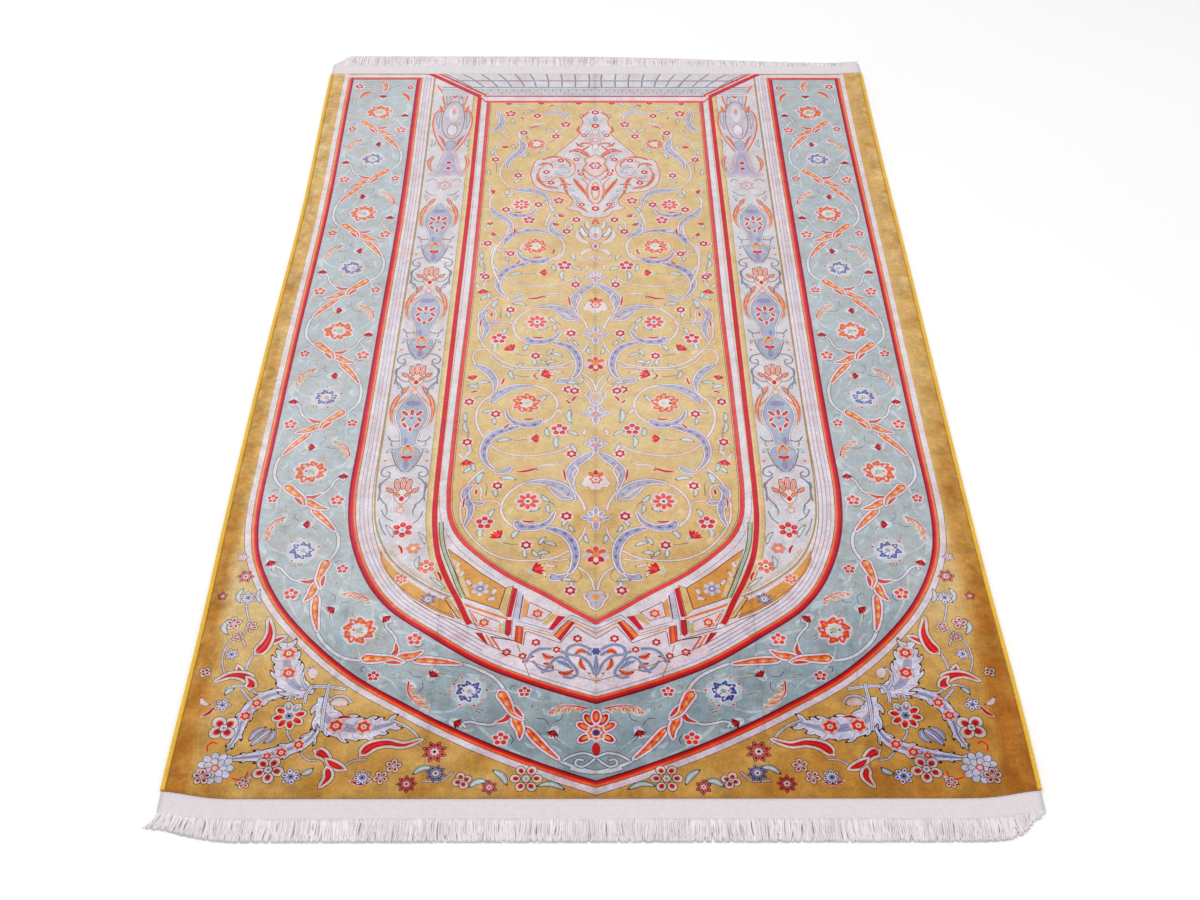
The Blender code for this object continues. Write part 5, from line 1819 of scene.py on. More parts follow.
def draw_corner(drawing):
    """The guard outside the border, the margin, and the leaves and flowers of the corner."""
    drawing.zones(OUTER_GUARD, OUTER_ZONES)
    for shift, dye in ((3.0, "margin_mid"), (0.0, "margin")):
        rim = [
            complex(20.5 + shift + 2.4 * math.sin(y / 13.0) * math.sin(y / 31.0), y)
            for y in range(-50, 262, 6)
        ]
        drawing.area([-50 - 50j] + rim + [20.5 + 270j, 20.5 + 1150j, -50 + 1150j], dye)
    for width, length, pairs, numbers in ACANTHUS:
        acanthus(drawing, width, length, pairs, places(*numbers))
    drawing.leaves(SPANDREL_BLADES)
    for radius, x, y in SPANDREL_ROSETTES:
        drawing.scallop(complex(x, y), radius * 1.3, 7, 0.08, "sky")
        drawing.rosette(complex(x, y), radius * 0.92, "orange")
    draw_corner_palmette(drawing)
    draw_aster(drawing)
    for radius, petals, x, y, turn in SPANDREL_BLOSSOMS:
        drawing.blossom(complex(x, y), radius, petals, math.radians(turn))
    for kind, petals, radius, x, y in SPANDREL_BLOOMS:
        drawing.bloom(complex(x, y), radius, petals, kind, 0.4 + x)


LATTICE_ROWS = (
    # near edge, far edge, dye
    (1042.8, 1097, "lamp"),
    (1046.0, 1046.8, "slate"),
    (1050.4, 1051.1, "slate"),
    (1052.4, 1056.8, "haze"),
    (1053.2, 1056.0, "teal"),
    (1057.4, 1058.2, "slate"),
    (1061.6, 1063.6, "slate"),
    (1077.8, 1080.2, "slate"),
)
LATTICE_BARS = (
    # x at the far edge, x at the near edge of a bar of the lattice
    (150, 188), (174, 205), (198, 222), (221, 240), (242, 256),
    (262, 271), (283, 287), (302, 304), (320, 321), (338.5, 338.5),
)
LATTICE_BRICK = 10.0  # length of the bricks in the lattice's lowest rows
LATTICE_BRICKS = 15
BRICK_LINE = 0.9
END_TOP = 1120  # beyond the pile's far edge
END_BANDS = (
    # x, near edge, far x, dye of the lines across the far end, up to the rug's edge
    (32, 1081.5, 117, "umber"),
    (32, 1082.5, 117, "red"),
    (32, 1086.5, 117, "umber"),
    (26, 1087.2, AXIS, "white"),
    (26, 1094, AXIS, "olive"),
    (26, 1097, AXIS, "gold"),
)
END_SLOPES = (
    # near corner, near edge, far corner, dye of the lines that close the field
    (207, 1026, 150, "red"),
    (207, 1030.5, 150, "white"),
    (205, 1040, 140, "umber"),
    (204, 1040.6, 140, "crimson"),
    (203, 1042.8, 134, "white"),
)
END_DIAGONALS = (
    # dye, width, places
    ("maroon", 6.2, (131, 1097, 200, 1040)),
    ("crimson", 5.2, (131, 1097, 200, 1040)),
    ("apricot", 1.2, (137, 1097.5, 204, 1042)),
    ("crimson", 3.0, (141.5, 1098.5, 207, 1043.5)),
)


def draw_far_end(drawing):
    """The lines that close the border, the lamp band and the field at the far end."""
    for x, y, far_x, dye in END_BANDS:
        drawing.box(x, y, far_x, END_TOP, dye)
    for near_x, y, far_x, dye in END_SLOPES:
        drawing.area(places(near_x, y, AXIS, y, AXIS, END_TOP, far_x, END_TOP), dye)
    drawing.area(places(133, 1096, 198, 1042, 205, 1041, 150, 1096), "blush")
    for y0, y1, dye in LATTICE_ROWS:
        drawing.box(150, y0, AXIS, y1, dye)
    for top_x, foot_x in LATTICE_BARS:
        bend = (top_x + foot_x) / 2 + 1.0
        drawing.blade("haze_bar", "stem", 1.3, places(top_x, 1096, bend, 1080, foot_x, 1062))
    for n in range(LATTICE_BRICKS):
        x = AXIS - 5 - LATTICE_BRICK * n
        half = LATTICE_BRICK / 2
        drawing.box(x, 1051.1, x + BRICK_LINE, 1057.4, "slate")
        drawing.box(x - half, 1046.8, x + BRICK_LINE - half, 1050.4, "slate")
    for dye, width, numbers in END_DIAGONALS:
        polyline(drawing, places(*numbers), width, dye)
    drawing.box(0, 1097.5, AXIS, END_TOP, "margin")


FIELD_ZONES = (  # offset, dye
    (3.6, "umber"), (3.0, "gold_pale"), (2.3, "maroon"), (1.9, "red"),
    (-1.9, "maroon"), (-2.3, "mist"), (-4.6, "white"),
)


def draw_rug():
    """All the pattern's shapes, from the bottom of the paint order to its top."""
    drawing = Drawing()
    draw_field(drawing)
    draw_far_field(drawing)
    drawing.zones(FIELD_EDGE, FIELD_ZONES)
    drawing.band(FIELD_EDGE, -8.9, -8.4, "slate")
    draw_lamp_band(drawing)
    draw_frames(drawing)
    draw_border(drawing)
    draw_corner(drawing)
    draw_far_end(drawing)
    return drawing


# ---------------------------------------------------------------- from the drawing to the pile
STRIP_EDGES = (4.9, 127.1, 209.0, 347.0, 485.0, 566.9, 695.1)
STRIP_FOLDS = (3, 4, 3, 3, 4, 3)  # columns of each strip's bake map
GRID = 8.0  # spacing of the pile's plain points
EDGE_ROWS = (0.7, 1.5, 2.5, 4.0, 6.8)  # extra points where the edge rolls over
FOLD_OVERHANG = 13.0
FOLD_MARGIN = 7.0
# soft spots of painted shade, where the velvet's sheen falls away and over the creases; those below zero are
# lighter
SHADE_SPOTS = (
    # centre x, centre y, half width, half length, extra painted shade (below zero, painted light)
    (352, 398, 9, 14, 0.32),
    (348, 338, 14, 9, 0.45),
    (363, 300, 9, 14, 0.50),
    (331, 300, 8, 12, 0.40),
    (300, 268, 20, 10, 0.25),
    (405, 352, 18, 8, 0.25),
    (420, 250, 26, 12, 0.30),
    (225, 325, 8, 14, 0.25),
    (460, 330, 10, 16, 0.25),
    (12, 190, 7, 26, 0.45),
    (16, 120, 6, 30, 0.35),
    (11, 300, 9, 55, 0.38),
    (684, 500, 12, 90, -0.25),
    (684, 690, 12, 90, -0.15),
    (640, 210, 20, 40, -0.22),
    (560, 170, 50, 60, 0.12),
    (15, 395, 6, 26, 0.30),
    (11, 520, 6, 34, 0.25),
    (14, 640, 6, 24, 0.20),
    (688, 180, 7, 60, 0.55),
    (684, 90, 8, 34, 0.45),
    (685, 330, 7, 30, 0.40),
    (688, 470, 6, 26, 0.25),
    (140, 12, 60, 10, 0.35),
    (560, 14, 90, 12, 0.45),
    (347, -2, 40, 9, 0.40),
)


MIDDLE_X = 350.0  # the rug's middle, a little right of the pattern's
# where the painted shade lies: in the margins, near the point, beside the axis and towards the right
MARGIN_WIDTH, MARGIN_BLEND = 25, 7
POINT_LENGTH = 235  # the near part, where the painted shade is deepest
NEAR_HALF_LENGTH = 450
MIDDLE_HALF_WIDTH, MIDDLE_BLEND = 150, 12
RIGHT_START, RIGHT_BLEND = 330, 330
COLUMNS_LENGTH = 1105.0  # what the columns of a bake map share out
UNDER_WIDTH = 24.0  # room for the shrunk underside on a bake map
UNDER_LENGTH = 1110.0
MAP_GAP = 4.0
WALL_FLAP = 3.0
WALL_LIGHT = 1.15


def rug_x(x):
    """The part's x in metres, from millimetres on the flat rug."""
    return (np.asarray(x) - MIDDLE_X) / 1000


def rug_y(y):
    """The part's y in metres, from millimetres on the flat rug."""
    return np.asarray(y) / 1000 + NEAR_EDGE_Y


def near_line(x):
    """The pile's near edge in millimetres on the flat rug."""
    return (near_edge(rug_x(x)) - NEAR_EDGE_Y) * 1000


def far_line(x):
    """The pile's far edge in millimetres on the flat rug."""
    return (far_edge(rug_x(x)) - NEAR_EDGE_Y) * 1000


def on_rug(x, y, z):
    """Places in the part's frame, from millimetres on the flat rug and a height in metres."""
    flat_x, flat_y = rug_x(x), rug_y(y)
    return np.stack([flat_x + side_stray(flat_x, flat_y), flat_y, z + 0 * flat_x], axis=1)


def steps(start, end, spacing):
    """Evenly spaced numbers from start to end."""
    return np.linspace(start, end, max(2, round((end - start) / spacing) + 1))


def strip_outline(x0, x1):
    """A strip's closed outline."""
    across = steps(x0, x1, GRID)
    near = [complex(x, y) for x, y in zip(across, near_line(across))]
    far = [complex(x, y) for x, y in zip(across, far_line(across))]
    sides = [[complex(x, y) for y in steps(near_line(x), far_line(x), GRID)[1:-1]] for x in (x0, x1)]
    return near + sides[1] + far[::-1] + sides[0][::-1]


def strip_grid(x0, x1):
    """The plain points inside a strip, closer where the pile rolls over."""
    xs = list(steps(x0, x1, GRID)[1:-1])
    if x0 == STRIP_EDGES[0]:
        xs += [x0 + row for row in EDGE_ROWS]
    if x1 == STRIP_EDGES[-1]:
        xs += [x1 - row for row in EDGE_ROWS]
    points = []
    for x in xs:
        near, far = float(near_line(x)), float(far_line(x))
        rows = [near + row for row in EDGE_ROWS] + [far - row for row in EDGE_ROWS]
        points += [complex(x, y) for y in rows + list(steps(near, far, GRID)[2:-2])]
    return points


def triangles(outline, shapes, extra):
    """Cuts the shapes inside an outline into triangles. Gives points, triangles and each one's top shape."""
    points = list(outline)
    faces = [list(range(len(outline)))]
    for shape in shapes:
        faces.append(list(range(len(points), len(points) + len(shape))))
        points += shape
    points += extra
    vectors = [(p.real, p.imag) for p in points]
    found, _, cut, _, _, origins = delaunay_2d_cdt(vectors, [], faces, 1, 1e-4, True)
    kept = [(face, max(origin)) for face, origin in zip(cut, origins) if 0 in origin]
    places_found = np.array([(v[0], v[1]) for v in found])
    corners = np.array([face for face, _ in kept])
    tops = np.array([top for _, top in kept])
    return places_found, corners, tops


def rim_edges(corners):
    """Edges used by one triangle only, in that triangle's direction, with the triangle."""
    edges = np.concatenate([corners[:, [0, 1]], corners[:, [1, 2]], corners[:, [2, 0]]])
    owners = np.tile(np.arange(len(corners)), 3)
    size = int(corners.max()) + 1
    keys = np.minimum(edges[:, 0], edges[:, 1]) * size + np.maximum(edges[:, 0], edges[:, 1])
    _, first, count = np.unique(keys, return_index=True, return_counts=True)
    alone = first[count == 1]
    return edges[alone], owners[alone]


def with_painted_shade(colours, x, y):
    """The dyes with painted shade: darker near the point, on the right and in the margins, where the velvet's
    sheen falls away.
    """
    # painted shade: each dye is raised to a power above one, and the higher the power, the darker the dye
    from_side = np.minimum(x - 2 * (AXIS - MIDDLE_X), 2 * MIDDLE_X - x)
    margin = smooth((MARGIN_WIDTH - from_side) / MARGIN_BLEND)
    near = (1 - smooth(y / POINT_LENGTH)) ** 1.25
    near_half = 1 - smooth(y / NEAR_HALF_LENGTH)
    middle = smooth((MIDDLE_HALF_WIDTH - np.abs(x - AXIS)) / MIDDLE_BLEND)
    power = 1 + 0.13 * near_half + near * (1.12 - 0.72 * margin)
    # painted shade beside the axis in the near part, over the soft creases
    power = power + middle * 0.24 * (1 - smooth((y - 200) / 250)) * (1 - near)
    # painted shade towards the right, where the light falls off
    right_shade = 0.17 + 0.26 * near_half + 0.36 * (1 - margin) * (1 - smooth(y / 310))
    power = power + smooth((x - RIGHT_START) / RIGHT_BLEND) * right_shade
    # painted shade along the margins
    power = power + margin * 0.70 * (1 - smooth(y / 900))
    power = power + 0.04 * np.sin(x / 61.0 + 1.0) * np.sin(y / 87.0) + 0.03 * np.sin(x / 23.0 - y / 41.0)
    # painted shade in mottled patches near the point and in the margins, where the velvet's sheen breaks up
    blotch = np.sin(x / 9.0 + y / 17.0) * np.sin(y / 11.0 - x / 23.0) + 0.7 * np.sin(x / 14.0 - y / 8.0)
    power = power + 0.28 * near * blotch + 0.16 * margin * blotch
    # soft spots of painted shade, and a few of painted light
    for middle_x, middle_y, half_width, half_length, strength in SHADE_SPOTS:
        apart = ((x - middle_x) / half_width) ** 2 + ((y - middle_y) / half_length) ** 2
        power = power + strength * np.exp(-apart)
    return colours ** power[:, None]


def mesh_object(name, verts, faces, smooth_count, colours=None, uvs=None):
    """A piece from places and faces. Its first smooth_count faces are shaded smooth."""
    mesh = bpy.data.meshes.new(name)
    mesh.from_pydata(verts.tolist(), [], faces)
    mesh.polygons.foreach_set("use_smooth", [i < smooth_count for i in range(len(faces))])
    if colours is not None:
        # the faces' colours: for the pile, its dyes with their painted shade in them
        layer = mesh.color_attributes.new("dye", "FLOAT_COLOR", "CORNER")
        flat = np.ones((len(colours), 4))
        flat[:, :3] = colours
        layer.data.foreach_set("color", flat.ravel())
    if uvs is not None:
        mesh.uv_layers.new(name="OFBake").data.foreach_set("uv", uvs.ravel())
    mesh.validate()
    piece = bpy.data.objects.new(name, mesh)
    bpy.context.collection.objects.link(piece)
    return piece


def underside(x, y, rims, low_of):
    """Triangles inside the loop of the rim, with the numbers that low_of gives its points."""
    following = {int(a): int(b) for a, b in rims}
    loop = [int(rims[0, 0])]
    while following[loop[-1]] != loop[0]:
        loop.append(following[loop[-1]])
    vectors = [(float(x[i]), float(y[i])) for i in loop]
    _, _, faces, origins, _, _ = delaunay_2d_cdt(vectors, [], [list(range(len(loop)))], 1, 0.0, True)
    return [tuple(low_of[loop[origins[i][0]]] for i in reversed(face)) for face in faces]


def pile_strip(name, x0, x1, folds, drawing):
    """One lengthwise strip of the pile, closed, with the pattern on its top."""
    shapes, dyes = [], [DYE_NAMES.index("gold")]
    for shape, dye in zip(drawing.outlines, drawing.dyes):
        xs = [p.real for p in shape]
        if max(xs) > x0 and min(xs) < x1:
            shapes.append(shape)
            dyes.append(dye)
    points, corners, tops = triangles(strip_outline(x0, x1), shapes, strip_grid(x0, x1))
    used, flat = np.unique(corners, return_inverse=True)
    points, corners = points[used], flat.reshape(corners.shape)
    x, y = points[:, 0], points[:, 1]
    top = on_rug(x, y, pile_top(rug_x(x), rug_y(y)))
    dye = DYE_VALUES[np.array(dyes)[tops]]
    # painted shade: the top's dyes darkened by place, where the velvet's sheen falls away
    top_colours = with_painted_shade(np.repeat(dye, 3, axis=0), x[corners].ravel(), y[corners].ravel())
    # walls, from each rim edge down to the ground cloth
    rims, owners = rim_edges(corners)
    rim_points, rim_flat = np.unique(rims, return_inverse=True)
    rim_flat = rim_flat.reshape(rims.shape)
    low = on_rug(x[rim_points], y[rim_points], GROUND_THICKNESS)
    base = len(top)
    walls = [(int(a), int(base + la), int(base + lb), int(b)) for (a, b), (la, lb) in zip(rims, rim_flat)]
    # painted light: the walls' dyes made lighter against the shade on the pile's sides, then given the same
    # painted shade as the top
    wall_dye = np.minimum(1.0, np.repeat(dye[owners] * WALL_LIGHT, 4, axis=0))
    wall_colours = with_painted_shade(wall_dye, np.repeat(x[rims[:, 0]], 4), np.repeat(y[rims[:, 0]], 4))
    below = underside(x, y, rims, {int(p): base + i for i, p in enumerate(rim_points)})
    below_colours = np.tile(linear(DYES["side"]), (3 * len(below), 1))
    faces = [tuple(face) for face in corners.tolist()] + walls + below
    colours = np.concatenate([top_colours, wall_colours, below_colours])
    uvs = strip_map(x0, x1, folds, x, y, corners, rims, rim_points[np.array(below) - base])
    return mesh_object(name, np.concatenate([top, low]), faces, len(corners), colours, uvs)


def strip_map(x0, x1, folds, x, y, corners, rims, under):
    """The bake map: the strip folded into columns side by side, its walls as flaps, its underside small."""
    length = COLUMNS_LENGTH / folds
    wide = (x1 - x0) + 2 * FOLD_MARGIN
    size = max(length + 2 * FOLD_OVERHANG, wide * folds + UNDER_WIDTH + MAP_GAP)

    def folded(ids):
        """Places on the map, from the points of each face or edge."""
        column = np.clip((y[ids].mean(axis=1) / length).astype(int), 0, folds - 1)[:, None]
        u = x[ids] - x0 + FOLD_MARGIN + column * wide
        v = y[ids] - column * length + FOLD_OVERHANG
        return np.stack([u, v], axis=2)

    edges = folded(rims)
    start, end = edges[:, 0], edges[:, 1]
    ahead = np.stack([x[rims[:, 1]] - x[rims[:, 0]], y[rims[:, 1]] - y[rims[:, 0]]], axis=1)
    ahead /= np.linalg.norm(ahead, axis=1)[:, None]
    out = np.stack([ahead[:, 1] * WALL_FLAP, -ahead[:, 0] * WALL_FLAP], axis=1)
    walls = np.stack([start, start + out, end + out, end], axis=1)
    under_u = wide * folds + MAP_GAP + (x1 - x[under]) * (UNDER_WIDTH - 2 * MAP_GAP) / (x1 - x0)
    under_v = MAP_GAP + y[under] * (size - 14.0) / UNDER_LENGTH
    below = np.stack([under_u.ravel(), under_v.ravel()], axis=1)
    return np.concatenate([folded(corners).reshape(-1, 2), walls.reshape(-1, 2), below]) / size


# ---------------------------------------------------------------- yarn pieces
CLOTH_GRID = 10.0
CLOTH_ROWS = 50
BINDING_PITCH = 0.0017
BINDING_SIDES = 8
BINDING_INSET = 0.0006  # the cords end this far inside the pile's ends
RINGS_A_PITCH = 3
HEADING_INSET = 0.0012
HEADING_GRID = 0.006
HEADING_RIB = 0.0022
HEADING_RIB_RISE = 0.00022
ROWS_A_RIB = 4
HEADING_RAGGED = 0.0007  # how far the heading's outer edge strays
HEADING_FALL = 0.0009  # how far it drops towards that edge
SOFT = np.ones(9) / 9  # smooths a row of random numbers
STRANDS = 2300
STRAND_POINTS = 8
STRAND_SIDES = 3
STRAND_RADIUS = 0.00042
STRAND_INSET = 0.0018
ROOT_HEIGHT = 0.0011
CLUMPS = 160
NEAR_LOOSENESS, FAR_LOOSENESS = 0.8, 0.2  # the far fringe is combed straight
NEAR_SPREAD, FAR_SPREAD = 2.3, 3.2  # a strand is a flat bundle, so many times as wide as it is thick


def sheet_faces(wide, rows):
    """Faces of a closed sheet from its lower, then its upper grid of points. The rim's faces come last."""
    layer = wide * (rows + 1)
    faces = []
    for j in range(rows):
        for a in range(j * wide, j * wide + wide - 1):
            b = a + layer
            faces.append((a, a + wide, a + wide + 1, a + 1))
            faces.append((b, b + 1, b + wide + 1, b + wide))
    rim = list(range(wide - 1))
    rim += [j * wide + wide - 1 for j in range(rows)]
    rim += [rows * wide + i for i in range(wide - 1, 0, -1)]
    rim += [j * wide for j in range(rows, 0, -1)]
    return faces + [(a, b, b + layer, a + layer) for a, b in zip(rim, rim[1:] + rim[:1])], len(rim)


def ground_cloth():
    """The thin woven cloth that carries the pile."""
    xs = steps(STRIP_EDGES[0], STRIP_EDGES[-1], CLOTH_GRID)
    near, far = near_line(xs), far_line(xs)
    verts = []
    for height in (0.0, GROUND_THICKNESS):
        for j in range(CLOTH_ROWS + 1):
            verts.append(on_rug(xs, near + (far - near) * j / CLOTH_ROWS, height))
    faces, _ = sheet_faces(len(xs), CLOTH_ROWS)
    return mesh_object("ground_cloth", np.concatenate(verts), faces, 0)


def side_cord(name, side):
    """A cord overcast with thick yarn: a tube with a slanting ridge for every turn of the yarn."""
    radius = BINDING_DIAMETER / 2
    centre_x = side * (HALF_WIDTH - radius)
    start = float(near_edge(centre_x)) + BINDING_INSET
    end = float(far_edge(centre_x)) - BINDING_INSET
    rings = int((end - start) / BINDING_PITCH * RINGS_A_PITCH)
    chance = np.random.default_rng(11 + side)
    loose = np.convolve(chance.normal(0, 1, rings + 1), SOFT, "same")
    verts = []
    for i in range(rings + 1):
        y = start + (end - start) * i / rings
        for k in range(BINDING_SIDES):
            angle = math.tau * k / BINDING_SIDES
            ridge = math.cos(math.tau * i / RINGS_A_PITCH + 1.3 * math.cos(angle))
            reach = radius * (0.97 + 0.06 * ridge + 0.02 * loose[i])
            verts.append((centre_x + reach * math.cos(angle), y, max(radius + reach * math.sin(angle), 0.0)))
    verts = np.array(verts)
    verts[:, 0] += side_stray(np.full(len(verts), centre_x), verts[:, 1])
    faces = []
    for i in range(rings):
        for k in range(BINDING_SIDES):
            a, b = i * BINDING_SIDES + k, i * BINDING_SIDES + (k + 1) % BINDING_SIDES
            faces.append((a, a + BINDING_SIDES, b + BINDING_SIDES, b))
    last = rings * BINDING_SIDES
    faces.append(tuple(range(BINDING_SIDES)))
    faces.append(tuple(last + k for k in reversed(range(BINDING_SIDES))))
    return mesh_object(name, verts, faces, len(faces) - 2)


def heading(name, near):
    """The flat woven strip between the pile and the fringe, with fine ribs along the rug's width."""
    edge, depth, out = (near_edge, NEAR_HEADING, -1) if near else (far_edge, FAR_HEADING, 1)
    xs = steps(-HALF_WIDTH + HEADING_INSET, HALF_WIDTH - HEADING_INSET, HEADING_GRID)
    rows = round(depth / HEADING_RIB) * ROWS_A_RIB
    chance = np.random.default_rng(5 if near else 6)
    wave = np.convolve(chance.normal(0, 1, len(xs) + len(SOFT) - 1), SOFT, "valid")
    verts = []
    for layer in (0, 1):
        for j in range(rows + 1):
            reach = GAP + (depth - GAP) * j / rows
            y = edge(xs) + out * (reach + HEADING_RAGGED * wave * (j / rows))
            rise = HEADING_RIB_RISE * math.cos(math.tau * j / ROWS_A_RIB)
            high = HEADING_THICKNESS + rise - HEADING_FALL * (j / rows) ** 3
            z = np.full(len(xs), high if layer else 0.0)
            verts.append(np.stack([xs + side_stray(xs, edge(xs)), y, z], axis=1))
    faces, rim = sheet_faces(len(xs), rows)
    if near:
        faces = [face[::-1] for face in faces]
    return mesh_object(name, np.concatenate(verts), faces, len(faces) - rim)


def smooth_one(t):
    """The same as smooth, for one number."""
    t = min(1.0, max(0.0, t))
    return t * t * (3 - 2 * t)


def strand_line(chance, clumps, share, near):
    """The places along one strand, from its root in the heading to its tip on the floor."""
    edge, depth, reach_at, out, loose = (
        (near_edge, NEAR_HEADING, near_reach, -1, NEAR_LOOSENESS)
        if near
        else (far_edge, FAR_HEADING, far_reach, 1, FAR_LOOSENESS)
    )
    root_x = -HALF_WIDTH + STRAND_INSET + (RUG_WIDTH - 2 * STRAND_INSET) * share
    clump = share * CLUMPS
    clump_lean, clump_curl = clumps[int(clump)]
    pull = (int(clump) + 0.5 - clump) * RUG_WIDTH / CLUMPS
    root_reach = depth - chance.uniform(0.0005, 0.0022)
    full = float(reach_at(root_x)) - loose * chance.uniform(0.0, 0.0026) * chance.random()
    lean = lock_splay(share, near) + loose * (0.0016 * clump_lean + chance.gauss(0, 0.0011))
    curl = 0.0009 * clump_curl + chance.gauss(0, 0.0007)
    high = chance.uniform(0.0009, 0.0017)
    waves, phase, sway = chance.uniform(0.6, 1.6), chance.uniform(0, math.tau), chance.gauss(0, 0.00035)
    root_y = float(edge(root_x))
    stray = float(side_stray(root_x, root_y))
    line = []
    for k in range(STRAND_POINTS + 1):
        t = k / STRAND_POINTS
        x = root_x + stray + lean * t**1.4 + curl * math.sin(math.pi * t * 1.2)
        x += pull * 0.32 * loose * smooth_one(t * 1.6)
        x += sway * math.sin(waves * math.tau * t + phase) * t
        y = root_y + out * (root_reach + (full - root_reach) * t)
        z = ROOT_HEIGHT + (high - ROOT_HEIGHT) * math.sin(math.pi * min(1.0, t * 1.1)) - 0.0006 * t
        line.append((x, y, max(z, STRAND_RADIUS * 0.9)))
    return line


def strands(name, near):
    """Loose fringe yarns, each a thin three-sided tube that lies down to the floor."""
    chance = random.Random(SEED + near)
    spread = NEAR_SPREAD if near else FAR_SPREAD
    clumps = [(chance.uniform(-1, 1), chance.uniform(-1, 1)) for _ in range(CLUMPS + 1)]
    verts, faces = [], []
    for n in range(STRANDS):
        line = strand_line(chance, clumps, (n + chance.uniform(0.1, 0.9)) / STRANDS, near)
        base = len(verts)
        turn = chance.uniform(0, math.tau)
        for k, (x, y, z) in enumerate(line):
            radius = STRAND_RADIUS * (1.0 - 0.55 * (k / STRAND_POINTS) ** 4)
            for corner in range(STRAND_SIDES):
                angle = turn + math.tau * corner / STRAND_SIDES
                low = max(0.0, z + radius * math.sin(angle))
                verts.append((x + spread * radius * math.cos(angle), y, low))
        found = []
        for ring in range(base, base + STRAND_SIDES * STRAND_POINTS, STRAND_SIDES):
            for corner in range(STRAND_SIDES):
                a, b = ring + corner, ring + (corner + 1) % STRAND_SIDES
                found.append((a, b, b + STRAND_SIDES, a + STRAND_SIDES))
        cap = base + STRAND_SIDES * STRAND_POINTS
        found += [(base, base + 2, base + 1), (cap, cap + 1, cap + 2)]
        faces += found if near else [face[::-1] for face in found]
    return mesh_object(name, np.array(verts), faces, len(faces))


# ---------------------------------------------------------------- materials
TUFT_SCALE = 620.0  # about 1.6 mm a tuft
FINE_SCALE = 1500.0
SWEEP_SCALE = 26.0
MOTTLE_SCALE = 75.0  # clouds of about 12 mm
SHADE_PATCH_SCALE = 85.0
PILE_SHADE = 0.875
PEACH = (0.97, 0.86, 0.80, 1.0)
FLOOR_GREY = (0.93, 0.93, 0.93)


class Surface:
    """A material and the nodes that are added to it one by one."""

    def __init__(self, name, roughness, sheen=0.0):
        self.material = bpy.data.materials.new(name)
        self.material.use_nodes = True
        self.nodes = self.material.node_tree.nodes
        self.links = self.material.node_tree.links
        self.shader = self.nodes["Principled BSDF"]
        self.shader.inputs["Roughness"].default_value = roughness
        self.shader.inputs["Specular IOR Level"].default_value = 0.2
        self.shader.inputs["Sheen Weight"].default_value = sheen
        self.shader.inputs["Sheen Roughness"].default_value = 0.5
        self.place = self.nodes.new("ShaderNodeTexCoord").outputs["Object"]

    def noise(self, scale, detail=2.0, rough=0.5, place=None):
        """Soft noise between 0 and 1."""
        noise = self.nodes.new("ShaderNodeTexNoise")
        noise.inputs["Scale"].default_value = scale
        noise.inputs["Detail"].default_value = detail
        noise.inputs["Roughness"].default_value = rough
        self.links.new(place or self.place, noise.inputs["Vector"])
        return noise.outputs["Fac"]

    def spread(self, value, low, high, from_low=0.0, from_high=1.0):
        """A value moved from one range to another."""
        change = self.nodes.new("ShaderNodeMapRange")
        change.inputs["From Min"].default_value = from_low
        change.inputs["From Max"].default_value = from_high
        change.inputs["To Min"].default_value = low
        change.inputs["To Max"].default_value = high
        self.links.new(value, change.inputs["Value"])
        return change.outputs["Result"]

    def maths(self, operation, first, second=0):
        """One operation on two values or numbers."""
        step = self.nodes.new("ShaderNodeMath")
        step.operation = operation
        for socket, value in zip(step.inputs, (first, second)):
            if isinstance(value, (int, float)):
                socket.default_value = value
            else:
                self.links.new(value, socket)
        return step.outputs[0]

    def axes(self):
        """The x, y and z of a place."""
        split = self.nodes.new("ShaderNodeSeparateXYZ")
        self.links.new(self.place, split.inputs[0])
        return split.outputs

    def colour(self, colour, factor):
        """The surface's colour: a colour times a number."""
        times = self.nodes.new("ShaderNodeVectorMath")
        times.operation = "SCALE"
        if isinstance(colour, tuple):
            times.inputs[0].default_value = colour
        else:
            self.links.new(colour, times.inputs[0])
        self.links.new(factor, times.inputs["Scale"])
        self.links.new(times.outputs[0], self.shader.inputs["Base Color"])

    def bump(self, height, distance, strength):
        """Fine relief in the surface's shading."""
        bump = self.nodes.new("ShaderNodeBump")
        bump.inputs["Distance"].default_value = distance
        bump.inputs["Strength"].default_value = strength
        self.links.new(height, bump.inputs["Height"])
        self.links.new(bump.outputs["Normal"], self.shader.inputs["Normal"])


